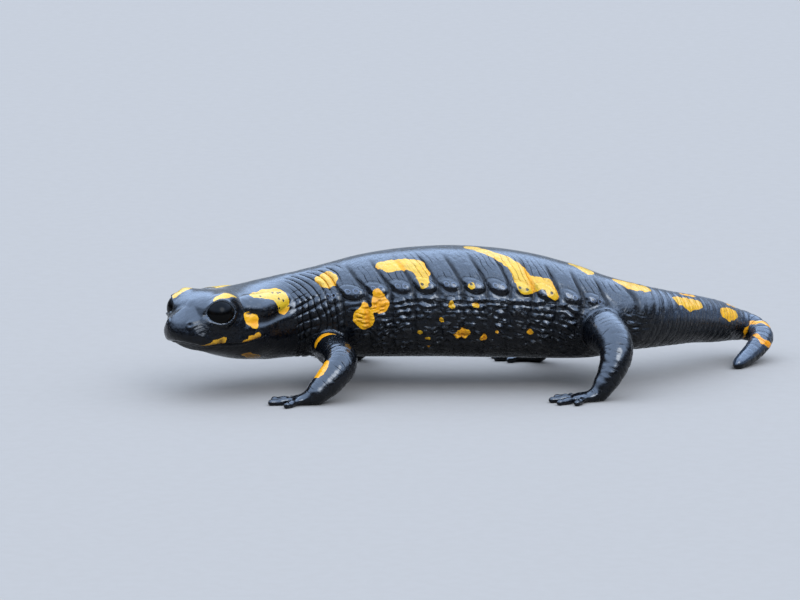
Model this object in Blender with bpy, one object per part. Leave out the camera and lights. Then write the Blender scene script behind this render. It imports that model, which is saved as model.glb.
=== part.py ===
"""A fire salamander (Salamandra salamandra), still and life-size, walking with its head turned to its left.

The head points along -X, the animal's left side faces -Y, and +Z is up. The floor is z = 0, and the origin
lies on it under the middle of the model. Sizes are in millimetres and become metres when a mesh is made.

The body is one tube along the spine, from the snout to the tip of the tail, parted into lengths. Each leg is
a tube from inside the trunk to the wrist or ankle, parted at the elbow or knee, with a hand or foot of
flat-soled digits.
"""

import math
from typing import NamedTuple

import bmesh
import bpy
import numpy as np
from mathutils import Matrix, Vector

MM = 0.001
GAP = 0.3
CENTRE = (1.229, 0.991)

BODY_SIDES = 26
LEG_SIDES = 12
DIGIT_SIDES = 6
BALL_SIDES, BALL_RINGS = 14, 8

SNOUT_CAP = 4.6
TAIL_CAP = 1.6
TRUNK_CUT_SPAN = (28.0, 114.0)
TRUNK_CUT_RINGS = 36
EYE_STATION = 8.35
EYE_OUT = 5.0
EYE_HEIGHT = 17.95
EYE_RADIUS = 3.45
MOUTH_REAR = 16.8
MOUTH_HALF_WIDTH = 16.0
JAW_SLANT, BELOW_JAW = 2.5, -5.0
MOUTH_POINTS = 12
FLOOR_CUT_DEPTH, FLOOR_CUT_REACH = 8.0, 120.0
BULGE_FALL = 1.2
SNOUT_CROWDING, TAIL_CROWDING = 0.45, 0.6
SHARP_ANGLE = 50.0
SPINE_STEP, LIMB_STEP = 0.05, 0.02
ROUNDING_SAMPLES = 13


class Station(NamedTuple):
    """One cross-section of the body: its place on the spine, and its shape there."""

    place: str
    x: float
    y: float
    z: float
    half_width: float
    rise: float
    drop: float
    squareness: float


class Joint(NamedTuple):
    """One cross-section of a leg: its centre and radius."""

    place: str
    x: float
    y: float
    z: float
    radius: float


class Bulge(NamedTuple):
    """A rounded swelling on both sides of the body, at an angle above the horizontal."""

    place: str
    along: float
    angle: float
    height: float
    half_length: float
    half_arc: float


SPINE = (
    Station("snout tip", -61.0, -22.5, 14.6, 5.1, 4.1, 2.7, 2.3),
    Station("nostrils", -59.2, -20.3, 14.2, 5.9, 5.7, 3.6, 2.4),
    Station("eyes", -55.6, -16.0, 13.8, 7.5, 8.3, 4.5, 2.5),
    Station("cheeks", -52.7, -12.5, 13.4, 9.0, 8.5, 5.3, 2.4),
    Station("jaw joints", -49.8, -9.1, 13.2, 10.1, 8.4, 6.5, 2.3),
    Station("nape", -45.0, -4.6, 13.8, 9.8, 8.1, 8.1, 2.2),
    Station("neck", -39.2, -1.5, 14.6, 9.3, 8.3, 9.0, 2.1),
    Station("shoulders", -30.8, 0.0, 15.2, 10.4, 9.5, 9.6, 2.1),
    Station("chest", -21.7, 0.0, 16.2, 11.9, 10.9, 10.6, 2.1),
    Station("middle", -8.0, 0.0, 17.0, 12.9, 11.8, 11.3, 2.15),
    Station("belly", 6.8, 0.0, 16.7, 12.6, 11.5, 11.2, 2.15),
    Station("loin", 19.4, 0.0, 15.3, 10.9, 10.2, 10.1, 2.1),
    Station("hips", 25.7, 0.2, 14.4, 9.5, 9.0, 9.2, 2.1),
    Station("vent", 32.0, 1.2, 13.9, 7.4, 7.5, 7.6, 2.05),
    Station("tail root", 37.2, 4.2, 13.0, 6.2, 6.6, 6.6, 2.0),
    Station("tail front", 42.0, 8.8, 12.0, 5.6, 5.9, 5.9, 2.0),
    Station("tail middle", 47.5, 15.3, 10.7, 5.0, 5.2, 5.2, 2.0),
    Station("tail rear", 53.1, 21.9, 9.0, 4.3, 4.5, 4.5, 2.0),
    Station("bend starts", 57.7, 27.4, 7.3, 3.5, 3.5, 3.5, 2.0),
    Station("bend, far side", 60.1, 28.6, 6.7, 3.05, 3.1, 3.1, 2.0),
    Station("bend, middle", 62.4, 27.6, 5.9, 2.8, 2.8, 2.8, 2.0),
    Station("bend, right side", 63.3, 25.3, 4.9, 2.6, 2.6, 2.6, 2.0),
    Station("bend ends", 62.9, 23.5, 4.2, 2.45, 2.45, 2.45, 2.0),
    Station("low tail", 61.3, 20.4, 2.85, 2.15, 2.15, 2.15, 2.0),
    Station("laid tail", 59.6, 17.7, 1.85, 1.85, 1.85, 1.85, 2.0),
    Station("thin tail", 58.2, 15.4, 1.25, 1.45, 1.45, 1.45, 2.0),
    Station("tail tip", 57.1, 13.4, 0.85, 1.05, 1.05, 1.05, 2.0),
)

BODY_PIECES = (
    ("head", 32.5, 22, 30),
    ("neck", 40.5, 5, 26),
    ("trunk_front", 58.0, 9, 26),
    ("trunk_middle", 80.0, 9, 26),
    ("trunk_rear", 104.0, 10, 26),
    ("tail_base", 121.0, 7, 18),
    ("tail_middle", 138.5, 7, 16),
    ("tail_bend", 153.5, 14, 14),
    ("tail_tip", None, 9, 12),
)

BULGES = (
    Bulge("brow", 8.7, 48.0, 1.7, 3.6, 19.0),
    Bulge("cheek", 14.0, -2.0, 0.35, 4.0, 20.0),
)

MOUTH_LINE = ((-2.0, 12.7), (0.5, 12.4), (2.5, 11.7), (6.5, 11.9), (11.0, 11.6), (16.8, 12.8))
PAROTOID_SPAN = {"left": (13.0, 30.4), "right": (13.0, 26.4)}
PAROTOID_ANGLE = 38.0
PAROTOID_HALF_WIDTH, PAROTOID_HALF_DEPTH = 3.4, 2.4
PAROTOID_OUT = 0.9

LEGS = {
    "left_arm": (
        Joint("root", -30.2, -3.5, 10.4, 4.0),
        Joint("shoulder", -29.0, -10.2, 8.9, 3.5),
        Joint("upper arm", -27.3, -15.6, 8.6, 3.4),
        Joint("elbow", -25.6, -20.0, 8.2, 3.5),
        Joint("forearm", -28.0, -22.8, 5.2, 3.35),
        Joint("wrist", -31.4, -25.2, 2.5, 2.5),
    ),
    "right_arm": (
        Joint("root", -29.8, 3.5, 10.8, 4.0),
        Joint("shoulder", -28.0, 10.0, 9.6, 3.6),
        Joint("upper arm", -24.8, 15.2, 9.4, 3.5),
        Joint("elbow", -21.4, 19.0, 8.6, 3.4),
        Joint("forearm", -21.2, 22.2, 5.5, 3.2),
        Joint("wrist", -23.4, 24.6, 2.5, 2.4),
    ),
    "left_leg": (
        Joint("root", 26.6, -3.0, 13.0, 5.2),
        Joint("hip", 28.0, -9.6, 12.6, 4.7),
        Joint("thigh", 29.8, -14.0, 12.0, 4.2),
        Joint("knee", 31.4, -17.6, 10.3, 3.6),
        Joint("shin", 30.1, -19.8, 6.2, 3.05),
        Joint("ankle", 27.3, -21.3, 2.3, 2.2),
    ),
    "right_leg": (
        Joint("root", 26.2, 3.0, 13.0, 5.2),
        Joint("hip", 24.6, 9.6, 12.4, 4.6),
        Joint("thigh", 21.8, 14.2, 11.8, 4.1),
        Joint("knee", 18.8, 17.8, 10.1, 3.6),
        Joint("shin", 17.3, 20.5, 6.2, 3.05),
        Joint("ankle", 15.4, 22.6, 2.3, 2.2),
    ),
}

LIMB_NAMES = {
    "left_arm": ("left_upper_arm", "left_forearm", "left_hand"),
    "right_arm": ("right_upper_arm", "right_forearm", "right_hand"),
    "left_leg": ("left_thigh", "left_shin", "left_foot"),
    "right_leg": ("right_thigh", "right_shin", "right_foot"),
}
ELBOW_AT = 0.63
LIMB_ROUNDING = 4.6
LIMB_RINGS = (9, 7)

PALM_LENGTH, PALM_WIDTH, PALM_THICKNESS = 5.0, 4.8, 2.8
PALM_AHEAD, PALM_ALONG_LIMB, PALM_HEIGHT = 2.1, 1.1, 1.0
STEM_RINGS = 3
STEM_END_TAPER = 0.5
DIGIT_BASE, DIGIT_TIP = 0.95, 0.62
DIGIT_CENTRE_HEIGHT = 0.55
DIGIT_DROP = (0.7, 0.35, 0.05, 0.0)
DIGIT_START = 0.12
DIGIT_END_TAPER, DIGIT_END_REACH = 0.6, 0.3
DIGIT_SPREAD = {4: (-48.0, -16.0, 14.0, 56.0), 5: (-56.0, -28.0, -4.0, 20.0, 48.0)}
DIGIT_REACH = {4: (4.6, 7.0, 7.2, 6.0), 5: (5.0, 7.0, 8.1, 7.8, 6.0)}
WELD_WITHIN, WELD_CUT_WITHIN = 0.06, 0.02
HEADINGS = {"left_arm": 176.0, "right_arm": 150.0, "left_leg": 196.0, "right_leg": 156.0}
DIGITS = {"left_arm": 4, "right_arm": 4, "left_leg": 5, "right_leg": 5}

BLACK_SKIN = ("black_skin", (0.008, 0.009, 0.011), 0.28)
YELLOW_SKIN = ("yellow_skin", (0.86, 0.62, 0.05), 0.32)
EYE_BLACK = ("eye_black", (0.004, 0.004, 0.004), 0.04)


# --- curves ---------------------------------------------------------------------------------------


def smooth(knots, values, at):
    """A cubic curve through the values at the knots, with central differences as its slopes."""
    knots, values, at = np.asarray(knots, float), np.asarray(values, float), np.asarray(at, float)
    slopes = np.gradient(values, knots, axis=0)
    index = np.clip(np.searchsorted(knots, at, side="right") - 1, 0, len(knots) - 2)
    span = (knots[index + 1] - knots[index])[:, None]
    t = (at - knots[index])[:, None] / span
    return (
        (2 * t**3 - 3 * t**2 + 1) * values[index]
        + (t**3 - 2 * t**2 + t) * span * slopes[index]
        + (3 * t**2 - 2 * t**3) * values[index + 1]
        + (t**3 - t**2) * span * slopes[index + 1]
    )


def rounded(knots, values, at, reach):
    """A path of straight lengths with rounded corners: the mean of the path within reach of each place."""
    knots, values, at = np.asarray(knots, float), np.asarray(values, float), np.asarray(at, float)
    room = np.minimum(reach, np.minimum(at, knots[-1] - at))
    near = at[:, None] + room[:, None] * np.linspace(-1.0, 1.0, ROUNDING_SAMPLES)
    return np.stack([np.interp(near, knots, column).mean(axis=1) for column in values.T], axis=1)


def lengths_along(points):
    """The distance along a path of points, from its first point to each of them."""
    return np.concatenate([[0.0], np.cumsum(np.linalg.norm(np.diff(points, axis=0), axis=1))])


def unit(vectors):
    """The vectors at length one."""
    return vectors / np.linalg.norm(vectors, axis=-1, keepdims=True)


SPINE_TABLE = np.array([station[1:] for station in SPINE])
SPINE_KNOTS = lengths_along(SPINE_TABLE[:, :3])
SPINE_LENGTH = SPINE_KNOTS[-1]


def spine_frame(along):
    """The spine's centre, its directions back, left and up, and its section, at each distance."""
    along = np.atleast_1d(np.asarray(along, float))
    table = smooth(SPINE_KNOTS, SPINE_TABLE, along)
    ahead = smooth(SPINE_KNOTS, SPINE_TABLE[:, :3], np.clip(along + SPINE_STEP, 0, SPINE_LENGTH))
    behind = smooth(SPINE_KNOTS, SPINE_TABLE[:, :3], np.clip(along - SPINE_STEP, 0, SPINE_LENGTH))
    back = unit(ahead - behind)
    left = unit(np.cross(back, np.array([0.0, 0.0, 1.0])))
    up = np.cross(left, back)
    return table[:, :3], back, left, up, table[:, 3:]


def end_taper(along):
    """How far the section has grown from nothing at the snout and the tail's tip: one everywhere between."""
    from_snout = np.clip(along / SNOUT_CAP, 0.0, 1.0)
    from_tip = np.clip((SPINE_LENGTH - along) / TAIL_CAP, 0.0, 1.0)
    return np.sqrt(1 - (1 - from_snout) ** 2) * np.sqrt(1 - (1 - from_tip) ** 2)


def swelling(along, angle):
    """The height of the rounded bulges, at each distance along and angle in degrees above the left side."""
    mirrored = np.where(angle > 90.0, 180.0 - angle, np.where(angle < -90.0, -180.0 - angle, angle))
    total = np.zeros(np.broadcast(along, angle).shape)
    for bulge in BULGES:
        off_along = (along - bulge.along) / bulge.half_length
        off_angle = (mirrored - bulge.angle) / bulge.half_arc
        total += bulge.height * np.exp(-BULGE_FALL * (off_along**2 + off_angle**2))
    return total


def body_rings(along, sides, grow=0.0):
    """Rings of points round the body at the given distances, grown outwards by a distance."""
    centre, _, left, up, shape = spine_frame(along)
    half_width, rise, drop, squareness = (shape[:, column, None] for column in range(4))
    angle = np.linspace(-math.pi, math.pi, sides, endpoint=False)[None, :]
    across = np.sign(np.cos(angle)) * np.abs(np.cos(angle)) ** (2 / squareness)
    above = np.sign(np.sin(angle)) * np.abs(np.sin(angle)) ** (2 / squareness)
    height = np.where(above > 0, rise, drop)
    taper = end_taper(np.asarray(along, float))[:, None]
    bump = swelling(np.asarray(along, float)[:, None], np.degrees(angle)) * taper
    out = grow + bump
    sideways = across * (half_width * taper + out)
    upwards = above * (height * taper + out)
    return centre[:, None, :] + sideways[..., None] * left[:, None, :] + upwards[..., None] * up[:, None, :]


def head_point(along, out, height):
    """The place of a point on the straight head, by distance behind the snout, to the left, and height."""
    centre, back, left, _, _ = spine_frame(EYE_STATION)
    flat_back = unit(back[0] * np.array([1.0, 1.0, 0.0]))
    place = centre[0] + (along - EYE_STATION) * flat_back + out * left[0]
    return np.array([place[0], place[1], height])


# --- meshes ---------------------------------------------------------------------------------------


def material_of(name, colour, roughness):
    """The named Principled material, made once."""
    material = bpy.data.materials.get(name)
    if material is None:
        material = bpy.data.materials.new(name)
        material.use_nodes = True
        shader = material.node_tree.nodes["Principled BSDF"]
        shader.inputs["Base Color"].default_value = (*colour, 1.0)
        shader.inputs["Roughness"].default_value = roughness
        shader.inputs["Metallic"].default_value = 0.0
    return material


def add_object(name, mesh_data, finish):
    """Puts a bmesh into the scene as a smooth object, moved so that the origin is under its middle."""
    to_middle = Matrix.Translation((-CENTRE[0], -CENTRE[1], 0))
    bmesh.ops.transform(mesh_data, matrix=to_middle, verts=mesh_data.verts)
    bmesh.ops.scale(mesh_data, vec=(MM, MM, MM), verts=mesh_data.verts)
    bmesh.ops.recalc_face_normals(mesh_data, faces=mesh_data.faces)
    mesh = bpy.data.meshes.new(name)
    mesh_data.to_mesh(mesh)
    mesh_data.free()
    mesh.materials.append(material_of(*finish))
    mesh.shade_smooth()
    mesh.set_sharp_from_angle(angle=math.radians(SHARP_ANGLE))
    made = bpy.data.objects.new(name, mesh)
    bpy.context.scene.collection.objects.link(made)
    return made


def add_tube(name, rings, finish, front_pole=False, rear_pole=False):
    """A closed tube through rings of points; an end is a flat face, or a point where its ring has shrunk."""
    tube = bmesh.new()
    loops = [[tube.verts.new(point) for point in ring] for ring in rings]
    if front_pole:
        loops[0] = [tube.verts.new(np.mean(rings[0], axis=0))]
    if rear_pole:
        loops[-1] = [tube.verts.new(np.mean(rings[-1], axis=0))]
    for one, other in zip(loops, loops[1:]):
        for side in range(max(len(one), len(other))):
            after = side + 1
            near = (one[side % len(one)], other[side % len(other)])
            far = (other[after % len(other)], one[after % len(one)])
            tube.faces.new(list(dict.fromkeys(near + far)))
    for ends_flat, loop in ((not front_pole, loops[0]), (not rear_pole, loops[-1])):
        if ends_flat:
            tube.faces.new(loop)
    bmesh.ops.delete(tube, geom=[vert for vert in tube.verts if not vert.link_faces], context="VERTS")
    return add_object(name, tube, finish)


def as_helper(made):
    """Keeps an object out of the model: it only cuts or joins others."""
    made.hide_render = True
    made.display_type = "WIRE"
    return made


def combine(target, helper, operation):
    """Cuts the target with a helper, joins the helper to it, or keeps only what both share."""
    modifier = target.modifiers.new(f"{operation.lower()}_{helper.name}", "BOOLEAN")
    modifier.operation = operation
    modifier.solver = "EXACT"
    modifier.object = helper


def weld(target, within):
    """Merges corners that the joins have left closer together than a distance."""
    modifier = target.modifiers.new("weld", "WELD")
    modifier.merge_threshold = within * MM


# --- body -----------------------------------------------------------------------------------------


def spaced(start, end, count, round_start, round_end):
    """Distances from start to end, closer together at a rounded end."""
    share = np.linspace(0.0, 1.0, count)
    if round_start:
        share = share + SNOUT_CROWDING * (1 - np.cos(share * math.pi / 2) - share)
    if round_end:
        left_over = 1 - share
        share = share - TAIL_CROWDING * (1 - np.cos(left_over * math.pi / 2) - left_over)
    return start + (end - start) * share


def piece_spans():
    """Each body piece's name, start and end along the spine half a gap in from the cuts, rings and sides."""
    start = 0.0
    for name, cut, rings, sides in BODY_PIECES:
        begin = start + GAP / 2 if start else start
        end = cut - GAP / 2 if cut else SPINE_LENGTH
        yield name, begin, end, rings, sides
        start = cut


def body_piece(name, node=None):
    """One length of the body as a closed tube, under its own name or another node's."""
    begin, end, rings, sides = next(span[1:] for span in piece_spans() if span[0] == name)
    first, last = begin == 0.0, end == SPINE_LENGTH
    along = spaced(begin, end, rings, first, last)
    return add_tube(node or name, body_rings(along, sides), BLACK_SKIN, front_pole=first, rear_pole=last)


def prism(name, outline):
    """A flat shape in the head's side view, by distance behind the snout and height, carried through it."""
    solid = bmesh.new()
    sides = []
    for out in (-MOUTH_HALF_WIDTH, MOUTH_HALF_WIDTH):
        corners = [solid.verts.new(head_point(along, out, height)) for along, height in outline]
        solid.faces.new(corners)
        sides.append(corners)
    for first in range(len(outline)):
        after = (first + 1) % len(outline)
        solid.faces.new((sides[0][first], sides[0][after], sides[1][after], sides[1][first]))
    return as_helper(add_object(name, solid, BLACK_SKIN))


def mouth_outline(raised):
    """The region under the mouth line and before the jaw joints; raised moves its edge up and back."""
    along = np.linspace(MOUTH_LINE[0][0], MOUTH_REAR, MOUTH_POINTS)
    points = np.array(MOUTH_LINE)
    heights = smooth(points[:, 0], points[:, 1:], along)[:, 0]
    line = [(place, height + raised) for place, height in zip(along, heights)]
    line[-1] = (MOUTH_REAR + raised, line[-1][1])
    return [*line, (MOUTH_REAR + JAW_SLANT + raised, BELOW_JAW), (MOUTH_LINE[0][0], BELOW_JAW)]


def build_jaw(head):
    """Parts the lower jaw from the head along the closed mouth."""
    jaw = body_piece("head", "lower_jaw")
    combine(jaw, prism("mouth_keep", mouth_outline(0.0)), "INTERSECT")
    combine(head, prism("mouth_cut", mouth_outline(GAP)), "DIFFERENCE")
    return jaw


def ball(name, centre, size, axes, finish):
    """An ellipsoid at a centre, with its three half sizes along three directions."""
    solid = bmesh.new()
    bmesh.ops.create_uvsphere(solid, u_segments=BALL_SIDES, v_segments=BALL_RINGS, radius=1.0)
    turn = Matrix([Vector(axis) * half for axis, half in zip(axes, size)]).transposed().to_4x4()
    bmesh.ops.transform(solid, matrix=Matrix.Translation(Vector(centre)) @ turn, verts=solid.verts)
    return add_object(name, solid, finish)


def build_eyes(head):
    """An eyeball on each side, in a socket that leaves the gap round it."""
    _, back, left, _, _ = spine_frame(EYE_STATION)
    axes = (back[0], left[0], np.array([0.0, 0.0, 1.0]))
    for side, sign in (("left", 1.0), ("right", -1.0)):
        centre = head_point(EYE_STATION, sign * EYE_OUT, EYE_HEIGHT)
        ball(f"eye_{side}", centre, (EYE_RADIUS,) * 3, axes, EYE_BLACK)
        socket = ball(f"socket_{side}", centre, (EYE_RADIUS + GAP,) * 3, axes, BLACK_SKIN)
        combine(head, as_helper(socket), "DIFFERENCE")


def build_parotoids(head):
    """The long poison gland behind each eye, in a pocket of the head."""
    for side, sign in (("left", 1.0), ("right", -1.0)):
        span = np.array(PAROTOID_SPAN[side])
        centre, _, left, up, shape = spine_frame(np.append(span, span.mean()))
        lift = math.radians(PAROTOID_ANGLE)
        outward = sign * left * math.cos(lift) + up * math.sin(lift)
        reach = np.hypot(shape[:, :1] * math.cos(lift), shape[:, 1:2] * math.sin(lift))
        front, rear, middle = centre + outward * reach
        outward = outward[2]
        back = unit(rear - front)
        outward = unit(outward - back * np.dot(back, outward))
        size = (np.linalg.norm(rear - front) / 2, PAROTOID_HALF_WIDTH, PAROTOID_HALF_DEPTH)
        place = middle + outward * (PAROTOID_OUT - PAROTOID_HALF_DEPTH)
        axes = (back, np.cross(back, outward), outward)
        ball(f"parotoid_{side}", place, size, axes, YELLOW_SKIN)
        pocket = ball(f"pocket_{side}", place, tuple(half + GAP for half in size), axes, BLACK_SKIN)
        combine(head, as_helper(pocket), "DIFFERENCE")


# --- legs -----------------------------------------------------------------------------------------


def tube_rings(points, radii, sides, back=None):
    """Rings of points square to a path, turned as little as possible from one to the next."""
    back = unit(np.gradient(points, axis=0)) if back is None else back
    side = unit(np.cross(back[0], np.array([0.0, 0.0, 1.0])))
    angle = np.linspace(0, 2 * math.pi, sides, endpoint=False)
    rings = []
    for point, direction, radius in zip(points, back, radii):
        side = unit(side - direction * np.dot(side, direction))
        other = np.cross(direction, side)
        rings.append(point + radius * (np.cos(angle)[:, None] * side + np.sin(angle)[:, None] * other))
    return np.array(rings)


def limb_path(leg, share):
    """Centres, radii and directions along a leg, from its root in the trunk (0) to the wrist (1)."""
    table = np.array([joint[1:] for joint in LEGS[leg]])
    knots = lengths_along(table[:, :3])
    share = np.asarray(share, float)
    read, ahead, behind = (
        rounded(knots, table, np.clip(share + step, 0.0, 1.0) * knots[-1], LIMB_ROUNDING)
        for step in (0.0, LIMB_STEP, -LIMB_STEP)
    )
    return read[:, :3], read[:, 3], unit(ahead[:, :3] - behind[:, :3])


def build_limb(leg, trunk_cutter):
    """The upper and the lower length of a leg; the upper one is cut back to the trunk's surface."""
    upper, lower, _ = LIMB_NAMES[leg]
    length = lengths_along(np.array([joint[1:4] for joint in LEGS[leg]]))[-1]
    half_gap = GAP / 2 / length
    points, radii, back = limb_path(leg, np.linspace(0.0, ELBOW_AT - half_gap, LIMB_RINGS[0]))
    upper_length = add_tube(upper, tube_rings(points, radii, LEG_SIDES, back), BLACK_SKIN)
    combine(upper_length, trunk_cutter, "DIFFERENCE")
    points, radii, back = limb_path(leg, np.linspace(ELBOW_AT + half_gap, 1.0, LIMB_RINGS[1]))
    add_tube(lower, tube_rings(points, radii, LEG_SIDES, back), BLACK_SKIN)


def digit_path(start, heading, reach):
    """The centres of one digit: out of the palm, down to the floor and along it."""
    direction = np.array([math.cos(heading), math.sin(heading), 0.0])
    out = np.linspace(DIGIT_START, 1.0, len(DIGIT_DROP)) * reach
    points = start + direction * out[:, None]
    points[:, 2] = DIGIT_CENTRE_HEIGHT + np.array(DIGIT_DROP)
    return points


def add_digit(name, start, heading, reach):
    """One tapered digit with a rounded end, as a helper to join to its palm."""
    points = digit_path(start, heading, reach)
    radii = np.linspace(DIGIT_BASE, DIGIT_TIP, len(points))
    radii[-1] *= DIGIT_END_TAPER
    rings = tube_rings(points, radii, DIGIT_SIDES)
    tip = points[-1] + unit(points[-1] - points[-2]) * DIGIT_END_REACH
    rings = np.concatenate([rings, np.repeat(tip[None, None, :], DIGIT_SIDES, axis=1)])
    return as_helper(add_tube(name, rings, BLACK_SKIN, rear_pole=True))


def build_hand(leg, floor):
    """A palm and its digits joined into one flat-soled solid, beginning a gap after the wrist."""
    name = LIMB_NAMES[leg][2]
    wrist = np.array(LEGS[leg][-1][1:4])
    radius = LEGS[leg][-1].radius
    arriving = limb_path(leg, [1.0])[2][0]
    heading = math.radians(HEADINGS[leg])
    forward = np.array([math.cos(heading), math.sin(heading), 0.0])
    up = np.array([0.0, 0.0, 1.0])
    start = wrist + arriving * GAP
    palm_centre = wrist + forward * PALM_AHEAD + arriving * PALM_ALONG_LIMB
    palm_centre[2] = PALM_HEIGHT
    share = np.linspace(0.0, 1.0, STEM_RINGS)
    stem = start + share[:, None] * (palm_centre - start)
    radii = radius * (1 + (STEM_END_TAPER - 1) * share**2)
    level = np.repeat(arriving[None, :], STEM_RINGS, axis=0)
    hand = add_tube(name, tube_rings(stem, radii, LEG_SIDES, level), BLACK_SKIN)
    halves = (PALM_LENGTH / 2, PALM_WIDTH / 2, PALM_THICKNESS / 2)
    palm = ball(f"{name}_palm", palm_centre, halves, (forward, np.cross(up, forward), up), BLACK_SKIN)
    combine(hand, as_helper(palm), "UNION")
    outward = 1.0 if name.startswith("left") else -1.0
    count = DIGITS[leg]
    for number, (spread, reach) in enumerate(zip(DIGIT_SPREAD[count], DIGIT_REACH[count]), 1):
        turn = heading + outward * math.radians(spread)
        combine(hand, add_digit(f"{name}_digit_{number}", palm_centre, turn, reach), "UNION")
    weld(hand, WELD_WITHIN)
    combine(hand, floor, "DIFFERENCE")
    weld(hand, WELD_CUT_WITHIN)


def slab(name, top, thickness, half_side):
    """A flat block with its top face at a height."""
    block = bmesh.new()
    bmesh.ops.create_cube(block, size=1.0)
    bmesh.ops.scale(block, vec=(2 * half_side, 2 * half_side, thickness), verts=block.verts)
    bmesh.ops.translate(block, vec=(0, 0, top - thickness / 2), verts=block.verts)
    return as_helper(add_object(name, block, BLACK_SKIN))


def main():
    """Builds the whole animal."""
    for old in list(bpy.data.objects):
        bpy.data.objects.remove(old, do_unlink=True)
    body = {name: body_piece(name) for name, *_ in piece_spans()}
    build_jaw(body["head"])
    build_eyes(body["head"])
    build_parotoids(body["head"])
    floor = slab("floor_cut", 0.0, FLOOR_CUT_DEPTH, FLOOR_CUT_REACH)
    combine(body["tail_tip"], floor, "DIFFERENCE")
    trunk_span = np.linspace(*TRUNK_CUT_SPAN, TRUNK_CUT_RINGS)
    trunk_cutter = as_helper(add_tube("trunk_cut", body_rings(trunk_span, BODY_SIDES, GAP), BLACK_SKIN))
    for leg in LEGS:
        build_limb(leg, trunk_cutter)
        build_hand(leg, floor)


main()
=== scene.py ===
"""A life-size fire salamander (Salamandra salamandra), dressed over its solid frame.

One skin covers the head, neck, trunk, tail, legs, hands and feet. It is worked out on grids: one round the
spine and one along each leg and digit, joined where they meet. The eyes are pieces of their own. Sizes are
in millimetres until a mesh is made. The head points along -X, the animal's left side faces -Y, and the
floor is z = 0.
"""

import itertools
import logging
import math
from dataclasses import dataclass, field
from enum import Enum
from typing import Any

import bpy
import numpy as np
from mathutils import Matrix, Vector
from numpy.typing import NDArray


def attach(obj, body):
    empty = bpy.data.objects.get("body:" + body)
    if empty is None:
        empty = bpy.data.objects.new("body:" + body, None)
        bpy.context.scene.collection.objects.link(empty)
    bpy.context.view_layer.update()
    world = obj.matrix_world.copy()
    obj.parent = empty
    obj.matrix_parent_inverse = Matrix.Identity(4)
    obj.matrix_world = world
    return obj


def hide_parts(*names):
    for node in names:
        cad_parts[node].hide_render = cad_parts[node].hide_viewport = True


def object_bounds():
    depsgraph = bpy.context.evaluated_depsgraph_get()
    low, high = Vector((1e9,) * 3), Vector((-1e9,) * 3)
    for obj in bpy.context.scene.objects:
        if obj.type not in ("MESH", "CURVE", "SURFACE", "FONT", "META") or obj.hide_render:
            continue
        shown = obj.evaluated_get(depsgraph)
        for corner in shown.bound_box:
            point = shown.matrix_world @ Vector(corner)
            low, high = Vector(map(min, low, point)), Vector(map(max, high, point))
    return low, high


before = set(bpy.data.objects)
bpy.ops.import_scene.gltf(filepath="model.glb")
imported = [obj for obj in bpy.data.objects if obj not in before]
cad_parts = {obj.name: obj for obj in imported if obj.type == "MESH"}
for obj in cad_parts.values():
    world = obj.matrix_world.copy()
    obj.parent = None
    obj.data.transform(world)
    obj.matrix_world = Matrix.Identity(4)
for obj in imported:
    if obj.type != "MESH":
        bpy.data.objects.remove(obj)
CAD_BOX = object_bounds()

Array = NDArray[np.float64]
Ints = NDArray[np.int64]
Triple = tuple[float, float, float]
log = logging.getLogger("salamander")

MM = 0.001
ORIGIN = np.array([1.229, 0.991, 0.0])  # the middle of the frame's box in plan, as the sizes here count
BODY = "root"
UP = np.array([0.0, 0.0, 1.0])
LEVEL = np.array([1.0, 1.0, 0.0])
FAR = 9.0  # millimetres that stand for "nowhere near"
TINY = 1e-9


class Slot(Enum):
    """Material slot names; no piece here takes one."""

    BLACK = "skin_black"
    EYE = "eye"


class Part(Enum):
    """Which grid a point of the skin comes from; a joining line's new points have none and read 0."""

    SPINE = 1.0
    LEG = 2.0


# --- curves and noise ---------------------------------------------------------------------------------


def unit(vectors: Array) -> Array:
    """The vectors at length one."""
    return vectors / np.maximum(np.linalg.norm(vectors, axis=-1, keepdims=True), TINY)


def lengths_along(points: Array) -> Array:
    """The distance along a path, from its first point to each of its points."""
    return np.concatenate([[0.0], np.cumsum(np.linalg.norm(np.diff(points, axis=0), axis=1))])


def smooth(knots: Array, values: Array, at: Array) -> Array:
    """Reads a smooth curve through values at knots.

    Formula: the cubic Hermite curve between neighbouring knots, with central differences as its slopes.

    Args:
        knots: the places of the values, rising.
        values: one row of values for each knot.
        at: the places to read.

    Returns:
        One row for each place.
    """
    slopes = np.gradient(values, knots, axis=0)
    index = np.clip(np.searchsorted(knots, at, side="right") - 1, 0, len(knots) - 2)
    span = (knots[index + 1] - knots[index])[:, None]
    t = (at - knots[index])[:, None] / span
    return (
        (2 * t**3 - 3 * t**2 + 1) * values[index]
        + (t**3 - 2 * t**2 + t) * span * slopes[index]
        + (3 * t**2 - 2 * t**3) * values[index + 1]
        + (t**3 - t**2) * span * slopes[index + 1]
    )


def rounded(knots: Array, values: Array, at: Array, reach: float) -> Array:
    """Reads a path of straight lengths with its corners rounded.

    Formula: the mean of the path over the places within reach, or within the room left before its nearer end.

    Args:
        knots: the places of the path's corners, rising.
        values: one row for each corner.
        at: the places to read.
        reach: how far each way the mean goes, in millimetres.

    Returns:
        One row for each place.
    """
    room = np.minimum(reach, np.minimum(at, knots[-1] - at))
    near = at[:, None] + room[:, None] * np.linspace(-1.0, 1.0, 13)
    return np.stack([np.interp(near, knots, column).mean(axis=1) for column in values.T], axis=1)


def step(low: float, high: float, value: Array) -> Array:
    """Rises from 0 at low to 1 at high by 3t² - 2t³; high may lie under low."""
    t = np.clip((value - low) / (high - low), 0.0, 1.0)
    return t * t * (3 - 2 * t)


def between(value: Array, start: float, full: float, falling: float, end: float) -> Array:
    """Rises from 0 at start to 1 at full, and falls from 1 at falling to 0 at end."""
    return step(start, full, value) * step(end, falling, value)


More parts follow.
